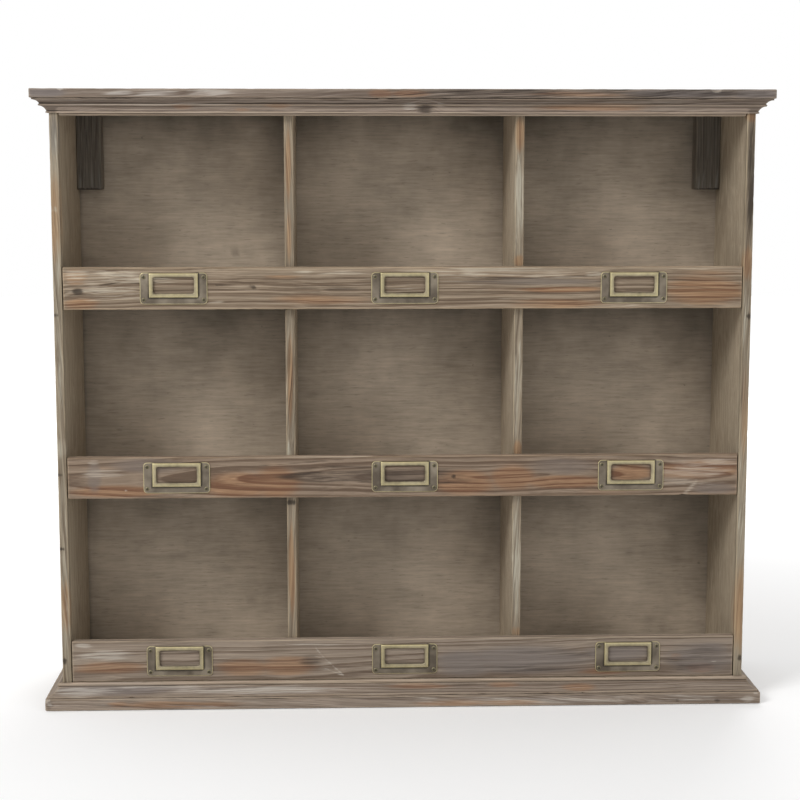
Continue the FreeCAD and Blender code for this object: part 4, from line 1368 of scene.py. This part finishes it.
def white_studio(strength):
    """A world of soft light from all round, with a plain white background."""
    world = bpy.data.worlds.new("white_studio")
    tree = cleared_tree(world)
    sky = node(tree, "Background", {"Color": WHITE, "Strength": strength})
    white = node(tree, "Background", {"Color": WHITE, "Strength": 1.0})
    seen = node(tree, "MixShader", (background_rays(tree), sky, white))
    node(tree, "OutputWorld", (seen,), out=None)
    return world


def photo_camera():
    """The camera at the photograph's place."""
    data = bpy.data.cameras.new("camera")
    data.lens = CAMERA_LENS
    data.clip_start = 0.01
    camera = bpy.data.objects.new("camera", data)
    camera.location = Vector(CAMERA_PLACE) * MM
    camera.rotation_euler = (math.radians(90 - CAMERA_PITCH), 0.0, math.radians(-CAMERA_YAW))
    bpy.context.scene.collection.objects.link(camera)
    return camera


class CABINET_OT_stage(bpy.types.Operator):
    """Build the pale floor, the soft lights and the camera"""
    bl_idname = "cabinet.stage"
    bl_label = "Stage"

    def execute(self, context):
        scene = context.scene
        settings = scene.cabinet_stage
        paper_floor(settings.floor_radius)
        scene.world = white_studio(settings.sky)
        for name, (share, size, place) in LIGHTS.items():
            soft_light(name, settings.key_power * share, size, place)
        scene.camera = photo_camera()
        scene.view_settings.view_transform = "Standard"
        return {"FINISHED"}


class CABINET_PT_panel(bpy.types.Panel):
    """Lists the steps that build the cabinet"""
    bl_idname = "CABINET_PT_panel"
    bl_label = "Wall cabinet"
    bl_space_type = "VIEW_3D"
    bl_region_type = "UI"
    bl_category = "Cabinet"

    def draw(self, context):
        for step in STEPS:
            self.layout.operator(step.bl_idname)
        for group in SETTINGS:
            settings = getattr(context.scene, group)
            for key in settings.bl_rna.properties.keys():
                if key not in ("rna_type", "name"):
                    self.layout.prop(settings, key)


STEPS = (CABINET_OT_rails, CABINET_OT_carcass, CABINET_OT_dividers, CABINET_OT_back,
         CABINET_OT_crown_and_base, CABINET_OT_mouldings, CABINET_OT_hangers, CABINET_OT_card_holders,
         CABINET_OT_nails, CABINET_OT_stage)
SETTINGS = {"cabinet_wood": CabinetWood, "cabinet_panel": CabinetPanel,
            "cabinet_brass": CabinetBrass, "cabinet_stage": CabinetStage}
CLASSES = (*SETTINGS.values(), *STEPS, CABINET_PT_panel)


def register():
    """Registers the classes and hangs the settings on the scene."""
    for item in CLASSES:
        bpy.utils.register_class(item)
    for key, group in SETTINGS.items():
        setattr(bpy.types.Scene, key, PointerProperty(type=group))


def unregister():
    """Takes the settings and the classes away again."""
    for key in SETTINGS:
        delattr(bpy.types.Scene, key)
    for item in reversed(CLASSES):
        bpy.utils.unregister_class(item)


def main():
    """Builds the cabinet step by step."""
    register()
    bpy.ops.cabinet.rails()
    bpy.ops.cabinet.carcass()
    bpy.ops.cabinet.dividers()
    bpy.ops.cabinet.back()
    bpy.ops.cabinet.crown_and_base()
    bpy.ops.cabinet.mouldings()
    bpy.ops.cabinet.hangers()
    bpy.ops.cabinet.card_holders()
    bpy.ops.cabinet.nails()
    bpy.ops.cabinet.stage()


if __name__ == "__main__":
    main()
